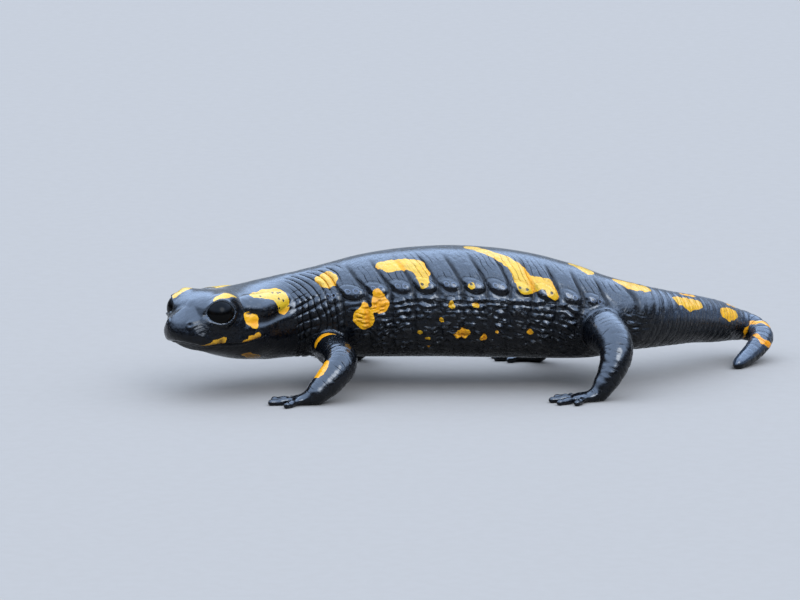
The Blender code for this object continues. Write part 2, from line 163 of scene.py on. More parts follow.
def hill(offset: Array, half: float) -> Array:
    """A bell of height 1 and the given half size: exp(-(offset / half)²)."""
    return np.exp(-((offset / half) ** 2))


def dome(reach: Array) -> Array:
    """A rounded cap that ends at reach 1: the square root of 1 - reach², softened at its foot."""
    inside = np.clip(1 - reach**2, 0.0, 1.0)
    return inside**0.75


def degrees_up(angle: Array) -> Array:
    """Degrees above the section's widest line, the same on both sides; 90 is the middle of the back."""
    return np.degrees(np.arcsin(np.clip(np.sin(angle), -1, 1)))


def crease(phase: Array) -> Array:
    """A row of narrow valleys at whole phases between broad rounded ridges: -(1 - |sin(pi phase)|)³."""
    return -((1 - np.abs(np.sin(np.pi * phase))) ** 3)


HASH_AXES = np.array([73856093, 19349663, 83492791])  # large odd numbers that scatter a cube's place
HASH_SEED = 2654435761
HASH_MIX = 1274126177
WORD = 0xFFFFFFFF


def cloud(points: Array, size: float, seed: int) -> Array:
    """Smooth noise between -1 and 1.

    Formula: a hashed random value at each corner of a cube lattice, blended inside a cube by 3t² - 2t³ on
    each axis.

    Args:
        points: places, with three coordinates on the last axis.
        size: the side of a cube, in millimetres.
        seed: picks another set of random values.

    Returns:
        One value for each place.
    """
    scaled = points / size + 0.37 * seed
    cell = np.floor(scaled).astype(np.int64)
    t = scaled - cell
    t = t * t * (3 - 2 * t)
    total = np.zeros(points.shape[:-1])
    for corner in itertools.product((0, 1), repeat=3):
        scattered = (cell + np.array(corner)) * HASH_AXES
        mixed = (np.bitwise_xor.reduce(scattered, axis=-1) ^ (seed * HASH_SEED)) & WORD
        mixed = (mixed ^ (mixed >> 13)) * HASH_MIX & WORD
        value = ((mixed ^ (mixed >> 16)) & 0xFFFF) / 32767.5 - 1.0
        share = np.prod(np.where(np.array(corner) == 1, t, 1 - t), axis=-1)
        total += share * value
    return total


# --- meshes -------------------------------------------------------------------------------------------


def grid_faces(rows: int, columns: int, first: int = 0) -> Ints:
    """The quads of a grid that closes on itself across its columns.

    Args:
        rows: how many rows of points.
        columns: how many points in each row.
        first: the number of the grid's first point.

    Returns:
        Four point numbers for each quad, turned so that the faces of an outward grid point outwards.
    """
    row = np.arange(rows - 1)[:, None] * columns
    column = np.arange(columns)[None, :]
    after = (column + 1) % columns
    corners = np.stack([row + column, row + after, row + columns + after, row + columns + column], axis=-1)
    return corners.reshape(-1, 4) + first


def turns(count: int) -> Array:
    """Angles spread evenly round a full turn."""
    return np.linspace(0.0, 2 * math.pi, count, endpoint=False)


def with_poles(rows: Array, kept: Ints | slice = slice(None)) -> Array:
    """A grid's values in one list, the kept ones first, then the means of its first row and of its last."""
    flat = rows.reshape(-1, *rows.shape[2:])[kept]
    return np.concatenate([flat, rows[:1].mean(axis=1), rows[-1:].mean(axis=1)])


def closed_ends(count: int, sides: int, outward: bool) -> Ints:
    """The triangles that close a grid of rings at both ends, to the two points after its own."""
    last = count * sides
    return np.concatenate(
        [fan(last, np.arange(sides), outward), fan(last + 1, np.arange(sides) + last - sides, not outward)]
    )


def fan(pole: int, ring: Ints, turn: bool) -> Ints:
    """The triangles from one point to a closed ring of points; turn reverses them."""
    after = np.roll(ring, -1)
    corners = [np.full(len(ring), pole), after, ring] if turn else [np.full(len(ring), pole), ring, after]
    return np.stack(corners, axis=-1)


def new_mesh(
    name: str, points: Array, quads: Ints, triangles: Ints, values: dict[str, Array]
) -> bpy.types.Object:
    """Makes an object from points in millimetres, round the model's own origin.

    Args:
        name: the object's name.
        points: one row for each point.
        quads: four point numbers for each quad.
        triangles: three point numbers for each triangle.
        values: a number or a triple for each point, under the name that the materials read.

    Returns:
        The linked, smooth-shaded object.
    """
    mesh = bpy.data.meshes.new(name)
    placed = (points - ORIGIN) * MM
    mesh.vertices.add(len(points))
    mesh.vertices.foreach_set("co", placed.astype(np.float32).ravel())
    corners = np.concatenate([quads.ravel(), triangles.ravel()]).astype(np.int32)
    mesh.loops.add(len(corners))
    mesh.loops.foreach_set("vertex_index", corners)
    counts = np.concatenate([np.full(len(quads), 4), np.full(len(triangles), 3)])
    mesh.polygons.add(len(counts))
    starts = np.concatenate([[0], np.cumsum(counts)[:-1]]).astype(np.int32)
    mesh.polygons.foreach_set("loop_start", starts)
    mesh.update(calc_edges=True)
    for label, numbers in values.items():
        kind, key = ("FLOAT_VECTOR", "vector") if numbers.ndim == 2 else ("FLOAT", "value")
        layer = mesh.attributes.new(label, kind, "POINT")
        layer.data.foreach_set(key, numbers.astype(np.float32).ravel())
    mesh.shade_smooth()
    made = bpy.data.objects.new(name, mesh)
    bpy.context.scene.collection.objects.link(made)
    return made


def read_points(mesh: bpy.types.Mesh) -> Array:
    """The mesh's points in millimetres, in the frame that the sizes here use."""
    flat = np.empty(len(mesh.vertices) * 3, np.float32)
    mesh.vertices.foreach_get("co", flat)
    return flat.reshape(-1, 3).astype(float) / MM + ORIGIN


def write_points(mesh: bpy.types.Mesh, points: Array) -> None:
    """Puts points in millimetres back into the mesh."""
    placed = (points - ORIGIN) * MM
    mesh.vertices.foreach_set("co", placed.astype(np.float32).ravel())
    mesh.update()


def united(target: bpy.types.Object, others: list[bpy.types.Object]) -> bpy.types.Object:
    """Joins closed shells into one closed shell.

    Args:
        target: the shell that takes the others in.
        others: the other shells, which are removed.

    Returns:
        The target.
    """
    for other in others:
        join = target.modifiers.new("join", "BOOLEAN")
        join.operation = "UNION"
        join.solver = "MANIFOLD"
        join.object = other
    graph = bpy.context.evaluated_depsgraph_get()
    mesh = bpy.data.meshes.new_from_object(target.evaluated_get(graph), depsgraph=graph)
    target.modifiers.clear()
    target.data = mesh
    for other in others:
        bpy.data.objects.remove(other)
    return target


def edges_of(mesh: bpy.types.Mesh) -> Ints:
    """The two point numbers of each edge."""
    flat = np.empty(len(mesh.edges) * 2, np.int32)
    mesh.edges.foreach_get("vertices", flat)
    return flat.reshape(-1, 2).astype(np.int64)


# --- the spine and its skin ---------------------------------------------------------------------------

STATIONS = (
    # x, y, z of the spine, then half width, height above it, depth below it, squareness
    (-61.0, -22.5, 14.6, 5.1, 4.1, 2.7, 2.3),  # snout tip
    (-59.2, -20.3, 14.2, 5.9, 5.7, 3.6, 2.4),  # nostrils
    (-55.6, -16.0, 13.8, 7.5, 8.3, 4.5, 2.5),  # eyes
    (-52.7, -12.5, 13.4, 9.0, 8.5, 5.3, 2.4),  # cheeks
    (-49.8, -9.1, 13.2, 10.1, 8.4, 6.5, 2.3),  # jaw joints
    (-45.0, -4.6, 13.8, 9.8, 8.1, 8.1, 2.2),  # nape
    (-39.2, -1.5, 14.6, 9.3, 8.3, 9.0, 2.1),  # neck
    (-30.8, 0.0, 15.2, 10.4, 9.5, 9.6, 2.1),  # shoulders
    (-21.7, 0.0, 16.2, 11.9, 10.9, 10.6, 2.1),  # chest
    (-8.0, 0.0, 17.0, 12.9, 11.8, 11.3, 2.15),  # middle
    (6.8, 0.0, 16.7, 12.6, 11.5, 11.2, 2.15),  # belly
    (19.4, 0.0, 15.3, 10.9, 10.2, 10.1, 2.1),  # loin
    (25.7, 0.2, 14.4, 9.5, 9.0, 9.2, 2.1),  # hips
    (32.0, 1.2, 13.9, 7.4, 7.5, 7.6, 2.05),  # vent
    (37.2, 4.2, 13.0, 6.2, 6.6, 6.6, 2.0),  # tail root
    (42.0, 8.8, 12.0, 5.6, 5.9, 5.9, 2.0),  # tail front
    (47.5, 15.3, 10.7, 5.0, 5.2, 5.2, 2.0),  # tail middle
    (53.1, 21.9, 9.0, 4.3, 4.5, 4.5, 2.0),  # tail rear
    (57.7, 27.4, 7.3, 3.5, 3.5, 3.5, 2.0),  # the bend starts
    (60.1, 28.6, 6.7, 3.05, 3.1, 3.1, 2.0),  # the bend's far side
    (62.4, 27.6, 5.9, 2.8, 2.8, 2.8, 2.0),  # the bend's middle
    (63.3, 25.3, 4.9, 2.6, 2.6, 2.6, 2.0),  # the bend's right side
    (62.9, 23.5, 4.2, 2.45, 2.45, 2.45, 2.0),  # the bend ends
    (61.3, 20.4, 2.85, 2.15, 2.15, 2.15, 2.0),  # low tail
    (59.6, 17.7, 1.85, 1.85, 1.85, 1.85, 2.0),  # laid tail
    (58.2, 15.4, 1.25, 1.45, 1.45, 1.45, 2.0),  # thin tail
    (57.1, 13.4, 0.85, 1.05, 1.05, 1.05, 2.0),  # tail tip
)


@dataclass(frozen=True)
class Spine:
    """The line down the middle of the animal and the plain section round it, as the solid frame has them."""

    snout_cap: float = 4.6
    tail_cap: float = 1.6
    brow: tuple[float, ...] = (1.7, 8.7, 3.6, 48.0, 19.0)
    cheek: tuple[float, ...] = (0.35, 14.0, 4.0, -2.0, 20.0)
    swelling_falls: float = 1.2
    slope_reach: float = 0.05
    table: Array = field(default_factory=lambda: np.array(STATIONS))

    @property
    def knots(self) -> Array:
        """Each station's distance from the snout."""
        return lengths_along(self.table[:, :3])

    @property
    def length(self) -> float:
        """The whole length along the curve."""
        return float(self.knots[-1])

    def frame(self, along: Array) -> tuple[Array, Array, Array, Array, Array]:
        """Reads the spine.

        Formula: back is the curve's direction by central differences, left is back crossed with the
        vertical, and up is left crossed with back.

        Args:
            along: distances from the snout.

        Returns:
            Centres, back, left and up directions, and the section's four sizes.
        """
        knots, table = self.knots, smooth(self.knots, self.table, along)
        ahead = smooth(knots, self.table[:, :3], np.clip(along + self.slope_reach, 0, knots[-1]))
        behind = smooth(knots, self.table[:, :3], np.clip(along - self.slope_reach, 0, knots[-1]))
        back = unit(ahead - behind)
        left = unit(np.cross(back, UP))
        return table[:, :3], back, left, np.cross(left, back), table[:, 3:]

    def taper(self, along: Array) -> Array:
        """How far the section has grown from its ends: a quarter circle at the snout and the tail's tip."""
        from_snout = np.clip(along / self.snout_cap, 0.0, 1.0)
        from_tip = np.clip((self.length - along) / self.tail_cap, 0.0, 1.0)
        return np.sqrt(1 - (1 - from_snout) ** 2) * np.sqrt(1 - (1 - from_tip) ** 2)

    def swelling(self, along: Array, angle: Array) -> Array:
        """The brow over each eye and the cheek behind it: two bells in distance along and angle round.

        Formula: each bell has a height, then a middle and a half size along, then a middle and a half size in
        degrees up, and falls by exp(-falls r²) with r the distance from its middle in half sizes.

        Args:
            along: distances from the snout.
            angle: radians for each row and column.

        Returns:
            The height of the two bells together.
        """
        degrees, total = degrees_up(angle), 0.0
        for height, middle, half_length, level, half_round in (self.brow, self.cheek):
            squares = ((along - middle) / half_length) ** 2 + ((degrees - level) / half_round) ** 2
            total = total + height * np.exp(-self.swelling_falls * squares)
        return total

    def surface(self, along: Array, angle: Array) -> Array:
        """The plain surface: a superellipse at each place, taller above its widest line than below it.

        Args:
            along: one distance for each row.
            angle: radians for each row and column, 0 at the left side and a quarter turn at the back.

        Returns:
            Points for each row and column.
        """
        centre, _, left, up, shape = self.frame(along)
        half_width, rise, drop, squareness = (shape[:, column, None] for column in range(4))
        across = np.sign(np.cos(angle)) * np.abs(np.cos(angle)) ** (2 / squareness)
        above = np.sign(np.sin(angle)) * np.abs(np.sin(angle)) ** (2 / squareness)
        height = np.where(above > 0, rise, drop)
        taper = self.taper(along)[:, None]
        bump = self.swelling(along[:, None], angle) * taper
        sideways = across * (half_width * taper + bump)
        upwards = above * (height * taper + bump)
        return centre[:, None, :] + sideways[..., None] * left[:, None] + upwards[..., None] * up[:, None]


@dataclass
class Lie:
    """Where each point of a skin grid lies on the body, in the body's own measures."""

    along: Array
    angle: Array
    girth: Array
    points: Array
    normals: Array

    @property
    def side(self) -> Array:
        """Millimetres round the body from the middle of the back, the same on both sides."""
        return np.abs(self.girth)


@dataclass(frozen=True)
class Head:
    """The forms of the head: its eyes, lids, nostrils, mouth and glands."""

    eye_along: float = 8.35
    eye_out: float = 5.0
    eye_height: float = 17.95
    eye_radius: float = 3.45
    eye_forward: float = 36.0
    eye_upward: float = 16.0
    opening_half_length: float = 3.6
    opening_half_heights: tuple[float, float] = (2.5, 1.7)
    lid_thickness: float = 0.42
    mouth_rear: float = 16.8
    mouth_line: tuple[tuple[float, float], ...] = (
        (-2.0, 12.7), (0.5, 12.4), (2.5, 11.7), (6.5, 11.9), (11.0, 11.6), (16.8, 12.8), (19.0, 13.4),
    )  # fmt: skip
    gland_spans: tuple[tuple[float, float], ...] = ((12.6, 30.6), (12.6, 27.0))
    gland_angle: float = 40.0
    gland_height: float = 1.25
    gland_half_width: float = 3.6
    gland_radius: float = 9.4
    lid_rounds: int = 14
    lid_sink: float = 0.7
    lid_reach: float = 3.5
    funnel_slope: float = 0.8
    blend_sharpness: float = 6.0
    chin_tuck: float = 2.6
    chin_top: float = 14.4
    chin_depth: float = 4.0
    nostril: Triple = (1.75, 2.85, 16.1)
    nostril_rim: float = 0.14
    nostril_depth: float = 0.5
    lip_height: float = 0.22
    mouth_depth: float = 0.34

    def axes(self, spine: Spine) -> tuple[Array, Array, Array]:
        """The straight head's origin on the spine over the snout end, and its back and left directions."""
        centre, back, left, _, _ = spine.frame(np.array([self.eye_along]))
        flat = unit(back[0] * LEVEL)
        return centre[0] * LEVEL - self.eye_along * flat, flat, left[0]

    def place(self, spine: Spine, along: float, out: float, height: float) -> Array:
        """The point at a distance behind the snout, to the left and up, on the straight head."""
        origin, back, left = self.axes(spine)
        return origin + along * back + out * left + height * UP

    def eye_axes(self, spine: Spine, side: float) -> tuple[Array, Array, Array, Array]:
        """An eye's place on the head.

        Args:
            spine: the animal's spine.
            side: 1 for the left eye and -1 for the right.

        Returns:
            The eye's centre and its outward, backward and upward directions.
        """
        _, back, left = self.axes(spine)
        turn, lift = math.radians(self.eye_forward), math.radians(self.eye_upward)
        level = side * left * math.cos(turn) - back * math.sin(turn)
        outward = unit(level * math.cos(lift) + UP * math.sin(lift))
        behind = back + side * left * math.tan(turn)
        backward = unit(behind - outward * np.dot(behind, outward))
        upward = unit(UP - outward * np.dot(UP, outward))
        centre = self.place(spine, self.eye_along, side * self.eye_out, self.eye_height)
        return centre, outward, backward, upward

    def opening_distance(self, spine: Spine, points: Array, side: float) -> tuple[Array, Array, Array]:
        """How far points lie outside the opening between the lids.

        Formula: the point is carried to the eyeball's surface, and its arcs backward and upward there are set
        against an almond, whose half height falls to nothing at the two corners.

        Args:
            spine: the animal's spine.
            points: places round the eye.
            side: 1 for the left eye and -1 for the right.

        Returns:
            The distance, negative inside the opening, the distance from the eye's centre, and the upward
            place.
        """
        centre, outward, backward, upward = self.eye_axes(spine, side)
        reach = points - centre
        radius = np.linalg.norm(reach, axis=-1)
        across = self.eye_radius * np.arctan2(reach @ backward, reach @ outward)
        high = self.eye_radius * np.arcsin(np.clip(reach @ upward / np.maximum(radius, TINY), -1.0, 1.0))
        share = np.abs(across) / self.opening_half_length
        half_height = self.opening_half_heights[0 if side > 0 else 1]
        edge = half_height * np.maximum(1 - share**2.2, 0.0) ** 0.72
        past = np.hypot(np.abs(across) - self.opening_half_length, high)
        off_edge = np.where(share < 1, np.abs(high) - edge, past)
        off_ball = np.maximum(radius - 1.3 * self.eye_radius, 0.0)
        off_edge = np.where(off_edge > 0, np.hypot(off_edge, off_ball), np.maximum(off_edge, off_ball - FAR))
        return np.where(radius < 2.0 * self.eye_radius, off_edge, FAR), radius, high

    def lids(self, spine: Spine, points: Array) -> tuple[Array, Array]:
        """Shapes the lids and the hollows behind them.

        Formula: outside the opening the skin keeps its distance from the eye's centre, or lies a lid's
        thickness over the eyeball if that is more. Inside the opening it sinks under the eyeball's surface.

        Args:
            spine: the animal's spine.
            points: the skin's points.

        Returns:
            The moved points, and the nearer eye's distance outside its opening.
        """
        moved, nearest, sharp = points.copy(), np.full(points.shape[:-1], FAR), self.blend_sharpness
        for side in (1.0, -1.0):
            centre = self.eye_axes(spine, side)[0]
            outside, radius, high = self.opening_distance(spine, points, side)
            direction = (points - centre) / np.maximum(radius, TINY)[..., None]
            roll = self.lid_thickness * (0.55 + 0.45 * hill(outside - 0.35, 0.55)) * step(2.6, 0.9, outside)
            over = self.eye_radius + roll
            bulging = np.logaddexp(radius * sharp, over * sharp) / sharp
            bulging -= 0.1 * step(1.2, 0.2, np.abs(radius - over))
            near = step(3.4, 1.6, outside)
            lifted = radius + (bulging - radius) * near
            funnel = over + self.funnel_slope * np.maximum(outside, 0.0)
            lifted = -np.logaddexp(-lifted * sharp, -funnel * sharp) / sharp
            furrow = 0.16 * hill(outside - 1.55, 0.3) * step(0.6, -0.6, high)
            sunk = self.eye_radius - self.lid_sink
            opened = sunk + (lifted - furrow - self.eye_radius + self.lid_sink) * step(-0.16, 0.26, outside)
            use = (outside < self.lid_reach)[..., None]
            moved = np.where(use, centre + direction * opened[..., None], moved)
            nearest = np.minimum(nearest, outside)
        share = (0.7 * step(0.22, 0.6, nearest) * step(3.4, 2.4, nearest))[1:-1, :, None]
        for _ in range(self.lid_rounds):
            beside = np.roll(moved, 1, axis=1) + np.roll(moved, -1, axis=1)
            mean = (beside[1:-1] + moved[:-2] + moved[2:]) / 4
            moved[1:-1] += share * (mean - moved[1:-1])
        for side in (1.0, -1.0):
            centre = self.eye_axes(spine, side)[0]
            reach = moved - centre
            radius = np.linalg.norm(reach, axis=-1, keepdims=True)
            least = self.eye_radius + 0.45 * self.lid_thickness
            under = (nearest > 0.22)[..., None] & (radius < least)
            moved = np.where(under, centre + reach / np.maximum(radius, TINY) * least, moved)
        return moved, nearest

    def above_mouth(self, spine: Spine, points: Array) -> tuple[Array, Array]:
        """Measures points against the mouth.

        Args:
            spine: the animal's spine.
            points: places on the head.

        Returns:
            How high they lie above the mouth line, and how far behind the snout on the straight head.
        """
        origin, back, _ = self.axes(spine)
        along = (points - origin) @ back
        line = np.array(self.mouth_line)
        flat = np.clip(along, line[0, 0], line[-1, 0])
        mouth = smooth(line[:, 0], line[:, 1:], flat.ravel())[:, 0].reshape(flat.shape)
        return points[..., 2] - mouth, along

    def off_nostril(self, spine: Spine, points: Array) -> Array:
        """The distance to the nearer nostril."""
        along, out, height = self.nostril
        pair = (self.place(spine, along, side * out, height) for side in (1.0, -1.0))
        return np.minimum(*(np.linalg.norm(points - centre, axis=-1) for centre in pair))

    def tucked(self, spine: Spine, points: Array) -> Array:
        """Draws the chin and the lower edge of the snout back, most at the very front and lowest."""
        _, back, _ = self.axes(spine)
        _, along = self.above_mouth(spine, points)
        low = np.clip((self.chin_top - points[..., 2]) / self.chin_depth, 0.0, 1.2)
        return points + (self.chin_tuck * low**2 * step(7.0, 0.0, along))[..., None] * back

    def gland_place(self, lie: Lie) -> Array:
        """Each point's place on the gland behind the eye: along from its middle, across, and the mark -1."""
        middle = np.where(lie.girth > 0, *(sum(span) / 2 for span in self.gland_spans))
        lifted = degrees_up(lie.angle) - self.gland_angle
        across = lifted * math.radians(self.gland_radius)
        return np.stack([lie.along - middle, across, -np.ones(lifted.shape)], axis=-1)

    def relief(self, spine: Spine, lie: Lie) -> Array:
        """The height of the head's small forms over its plain surface.

        Formula: bells and domes for the gland behind each eye, the nostrils and the lips, and a furrow
        along the mouth. The gland's lower edge is steeper than its upper one.

        Args:
            spine: the animal's spine.
            lie: where the points lie.

        Returns:
            The height along the normal.
        """
        above, along = self.above_mouth(spine, lie.points)
        total = np.zeros(lie.along.shape)
        degrees = degrees_up(lie.angle)
        for (front, rear), side in zip(self.gland_spans, (1.0, -1.0)):
            middle, half = (front + rear) / 2, (rear - front) / 2
            on_side = np.cos(lie.angle) * side > -0.2
            share = (lie.along - middle) / half
            lifted = (degrees - self.gland_angle + 3.0 * share) * math.radians(1.0) * self.gland_radius
            wide = self.gland_half_width * (1 - 0.25 * share)
            reach_over = np.hypot(np.abs(share) ** 1.3, lifted / np.where(lifted > 0, wide, wide * 0.92))
            under = hill(lifted + wide * 1.12, 0.75) * step(1.1, 0.75, np.abs(share))
            rim = hill(reach_over - 1.08, 0.09) * step(-1.2, 0.2, share)
            total += on_side * (self.gland_height * dome(reach_over) - 0.3 * under - 0.03 * rim)
        present = step(self.mouth_rear + 1.0, self.mouth_rear - 1.5, along)
        front = step(7.0, 0.0, along)
        lip = self.lip_height * hill(above - 0.55, 0.7) * present
        tuck = (0.25 + 0.75 * front) * step(0.15, -0.9, above) * step(-5.0, -1.5, above) * present
        furrow = self.mouth_depth * hill(above, 0.26) * present
        total += lip - tuck - furrow
        spot = self.off_nostril(spine, lie.points)
        total += self.nostril_rim * hill(spot - 0.66, 0.25) - self.nostril_depth * hill(spot, 0.36)
        total += 0.05 * cloud(lie.points, 2.6, 11) * step(0.0, 2.0, lie.along)
        return total * step(36.0, 29.0, lie.along)


@dataclass(frozen=True)
class Folds:
    """The grooves, glands and wrinkles of the neck, trunk and tail."""

    first_gland: float = 46.6
    pitch: float = 4.93
    glands: int = 12
    gland_angle: float = 27.0
    gland_half_length: float = 2.1
    gland_half_height: float = 1.55
    gland_height: float = 0.42
    gland_turn: float = 25.0
    lean: float = 0.47
    neck_lean: float = 0.8
    groove_depth: float = 0.5
    groove_half: float = 0.42
    bead_row: float = 1.45
    bead_pitch: float = 1.9
    bead_height: float = 0.85
    wrinkle_depth: float = 0.2
    neck_pitch: float = 1.7
    level_pitch: float = 1.9
    tail_pitch: float = 2.2
    sway: tuple[float, int] = (5.0, 3)
    fine_sway: tuple[float, int] = (2.2, 5)

    def gland_row(self, lie: Lie) -> Array:
        """How far round from the middle of the back the row of glands lies, for each row of the grid."""
        half = lie.angle.shape[1] // 2
        level = math.radians(self.gland_angle)
        pairs = zip(lie.angle[:, half - 1 :], lie.girth[:, half - 1 :])
        return np.array([np.interp(-level, -angle, girth) for angle, girth in pairs])[:, None]

    def leaning(self, lie: Lie, row: Array) -> Array:
        """The distance along, carried back down the side as the grooves lean, upright below the glands."""
        lean = self.lean + (self.neck_lean - self.lean) * step(46.0, 34.0, lie.along)
        lean = lean * step(112.0, 98.0, lie.along)
        return lie.along - lean * (np.minimum(lie.side, row) - row)

    def phases(self, lie: Lie, leaning: Array) -> tuple[Array, Array, Array, Array]:
        """The phases of the neck's creases, the level ones, the trunk's and the tail's rings.

        Formula: each phase grows by 1 from crease to crease, and noise of two sizes makes the creases sway.

        Args:
            lie: where the points lie.
            leaning: the distance along, as the grooves lean.

        Returns:
            The four phases for each point.
        """
        sway, fine = cloud(lie.points, *self.sway), cloud(lie.points, *self.fine_sway)
        neck = (leaning + 0.8 * sway) / self.neck_pitch
        level = (lie.side + 0.5 * sway + 0.12 * lie.along) / self.level_pitch
        trunk = leaning / (self.pitch / 4) + 0.3 * fine + 0.25 * sway
        tail = (lie.along + 0.35 * sway + 0.1 * lie.side) / self.tail_pitch
        return neck, level, trunk, tail

    def relief(self, lie: Lie) -> tuple[Array, Array]:
        """The height of the folds over the plain surface, and each point's place on the nearest gland.

        Formula: the sum of costal grooves at every pitch, a dome between each two, rows of small beads
        below them, fine creases above them, neck folds and tail rings, each faded in and out along and
        round the body.

        Args:
            lie: where the points lie.

        Returns:
            The height along the normal, and the places: along the gland, across it, and which gland.
        """
        row = self.gland_row(lie)
        leaning = self.leaning(lie, row)
        below = lie.side - row
        degrees = degrees_up(lie.angle)
        sway, fine_sway = cloud(lie.points, *self.sway), cloud(lie.points, *self.fine_sway)
        neck_phase, level_phase, trunk_phase, tail_phase = self.phases(lie, leaning)
        trunk = between(lie.along, 40.0, 47.0, 101.0, 108.0)
        flank = step(row * 0.25, row * 0.7, lie.side) * step(-62.0, -35.0, degrees)
        phase = (leaning + 0.25 * sway - self.first_gland) / self.pitch + 0.5
        off_groove = (phase - np.round(phase)) * self.pitch
        total = -self.groove_depth * hill(off_groove, self.groove_half) * flank * trunk
        turn = math.radians(self.gland_turn)
        number = np.round((leaning - self.first_gland) / self.pitch)
        off = leaning - self.first_gland - number * self.pitch
        here = (number >= -1) & (number <= self.glands - 2)
        size = 1 + 0.16 * np.sin(2.4 * number + np.sign(lie.girth))
        long_way = off * math.cos(turn) + below * math.sin(turn)
        short_way = below * math.cos(turn) - off * math.sin(turn)
        reach = np.hypot(long_way / self.gland_half_length, short_way / self.gland_half_height) / size
        reach = np.maximum(reach + 0.07 * fine_sway, 0.0)
        on_gland = np.stack([long_way, short_way, np.where(here, np.abs(number) * 0.37 + 1.0, 0.0)], axis=-1)
        gland = dome(reach**1.5) * self.gland_height * size
        arcs = 0.1 * hill(reach - 1.14, 0.1) + 0.07 * hill(reach - 1.55, 0.1) * step(0.5, -0.5, below)
        total += np.where(here, (gland - arcs) * trunk, 0.0)
        bead_row = (below - self.gland_half_height - 0.5 + 0.8 * sway + 0.45 * fine_sway) / self.bead_row
        shift = 0.5 * (np.floor(bead_row) % 2) + 0.7 * sway + 0.35 * fine_sway
        bead = np.abs(np.sin(np.pi * (lie.along / self.bead_pitch + shift)))
        bead = bead * np.abs(np.sin(np.pi * bead_row))
        beaded = step(0.0, 0.35, bead_row) * step(-66.0, -40.0, degrees)
        strength = 0.6 + 0.75 * cloud(lie.points, 1.9, 7)
        beads = self.bead_height * strength * (bead**0.75 - 0.35) * beaded * trunk
        total += beads * step(44.0, 52.0, lie.along)
        upper = step(row * 0.08, row * 0.4, lie.side) * step(0.4, -1.4, below)
        wrinkle = self.wrinkle_depth * crease(trunk_phase) * (0.6 + 0.4 * sway) * upper * trunk
        total += wrinkle * (1 - 0.8 * np.clip(dome(reach) * 2, 0, 1))
        total += self.neck_folds(lie, neck_phase, level_phase, fine_sway)
        total += self.tail_rings(lie, tail_phase, sway, fine_sway)
        total += 0.07 * sway * step(34.0, 44.0, lie.along)
        return total * step(30.0, 33.0, lie.along), on_gland

    def creases(self, lie: Lie) -> Array:
        """The fine creases' phase across the body, their phase along it, and how strong they are.

        Formula: the phase across is the neck's, the trunk's or, at half its pitch, the tail's. The strength
        is 1 where there are creases, and -1 where the flank has beads instead.

        Args:
            lie: where the points lie.

        Returns:
            The three numbers for each point.
        """
        row = self.gland_row(lie)
        leaning = self.leaning(lie, row)
        degrees = degrees_up(lie.angle)
        neck, level, trunk, tail = self.phases(lie, leaning)
        across = np.where(lie.along < 45.5, neck, np.where(lie.along < 105.0, trunk, 2 * tail))
        strong = between(lie.along, 29.5, 33.0, 43.0, 45.4) * step(88.0, 66.0, degrees)
        upper = step(0.0, row * 0.5, lie.side) * step(45.6, 48.0, lie.along) * step(104.9, 99.0, lie.along)
        upper = upper * step(0.2, -1.6, lie.side - row)
        beads = step(1.2, 2.4, lie.side - row) * step(43.0, 50.0, lie.along) * step(107.0, 99.0, lie.along)
        ringed = between(lie.along, 105.1, 110.0, 150.0, 160.0) * 0.7
        broken = step(-0.45, 0.35, cloud(lie.points, 2.6, 29))
        strength = strong + 0.7 * upper * broken + ringed - beads * step(-70.0, -52.0, degrees)
        return np.stack([across, level, strength], axis=-1)

    def neck_folds(self, lie: Lie, across: Array, level: Array, fine: Array) -> Array:
        """Deep creases across the neck, and cobbles where level creases cross them on its sides.

        Args:
            lie: where the points lie.
            across: the phase of the creases across.
            level: the phase of the level creases.
            fine: the fine noise.

        Returns:
            The height along the normal.
        """
        degrees = degrees_up(lie.angle)
        neck = between(lie.along, 29.0, 33.0, 42.0, 47.0)
        sides = between(degrees, -75.0, -50.0, 15.0, 40.0)
        deep = 0.5 * crease(across) * step(84.0, 70.0, degrees)
        return neck * (deep + 0.42 * crease(level) * sides + 0.08 * fine)

    def tail_rings(self, lie: Lie, phase: Array, sway: Array, fine: Array) -> Array:
        """Shallow rings round the tail with fine creases between them, fading towards its tip.

        Args:
            lie: where the points lie.
            phase: the phase of the rings.
            sway: the broad noise.
            fine: the fine noise.

        Returns:
            The height along the normal.
        """
        tail = between(lie.along, 100.0, 108.0, 150.0, 161.0)
        creases = crease((lie.along + 0.3 * fine) / (self.tail_pitch / 3))
        return tail * (0.2 * crease(phase) + 0.08 * creases * (0.5 + 0.5 * sway))


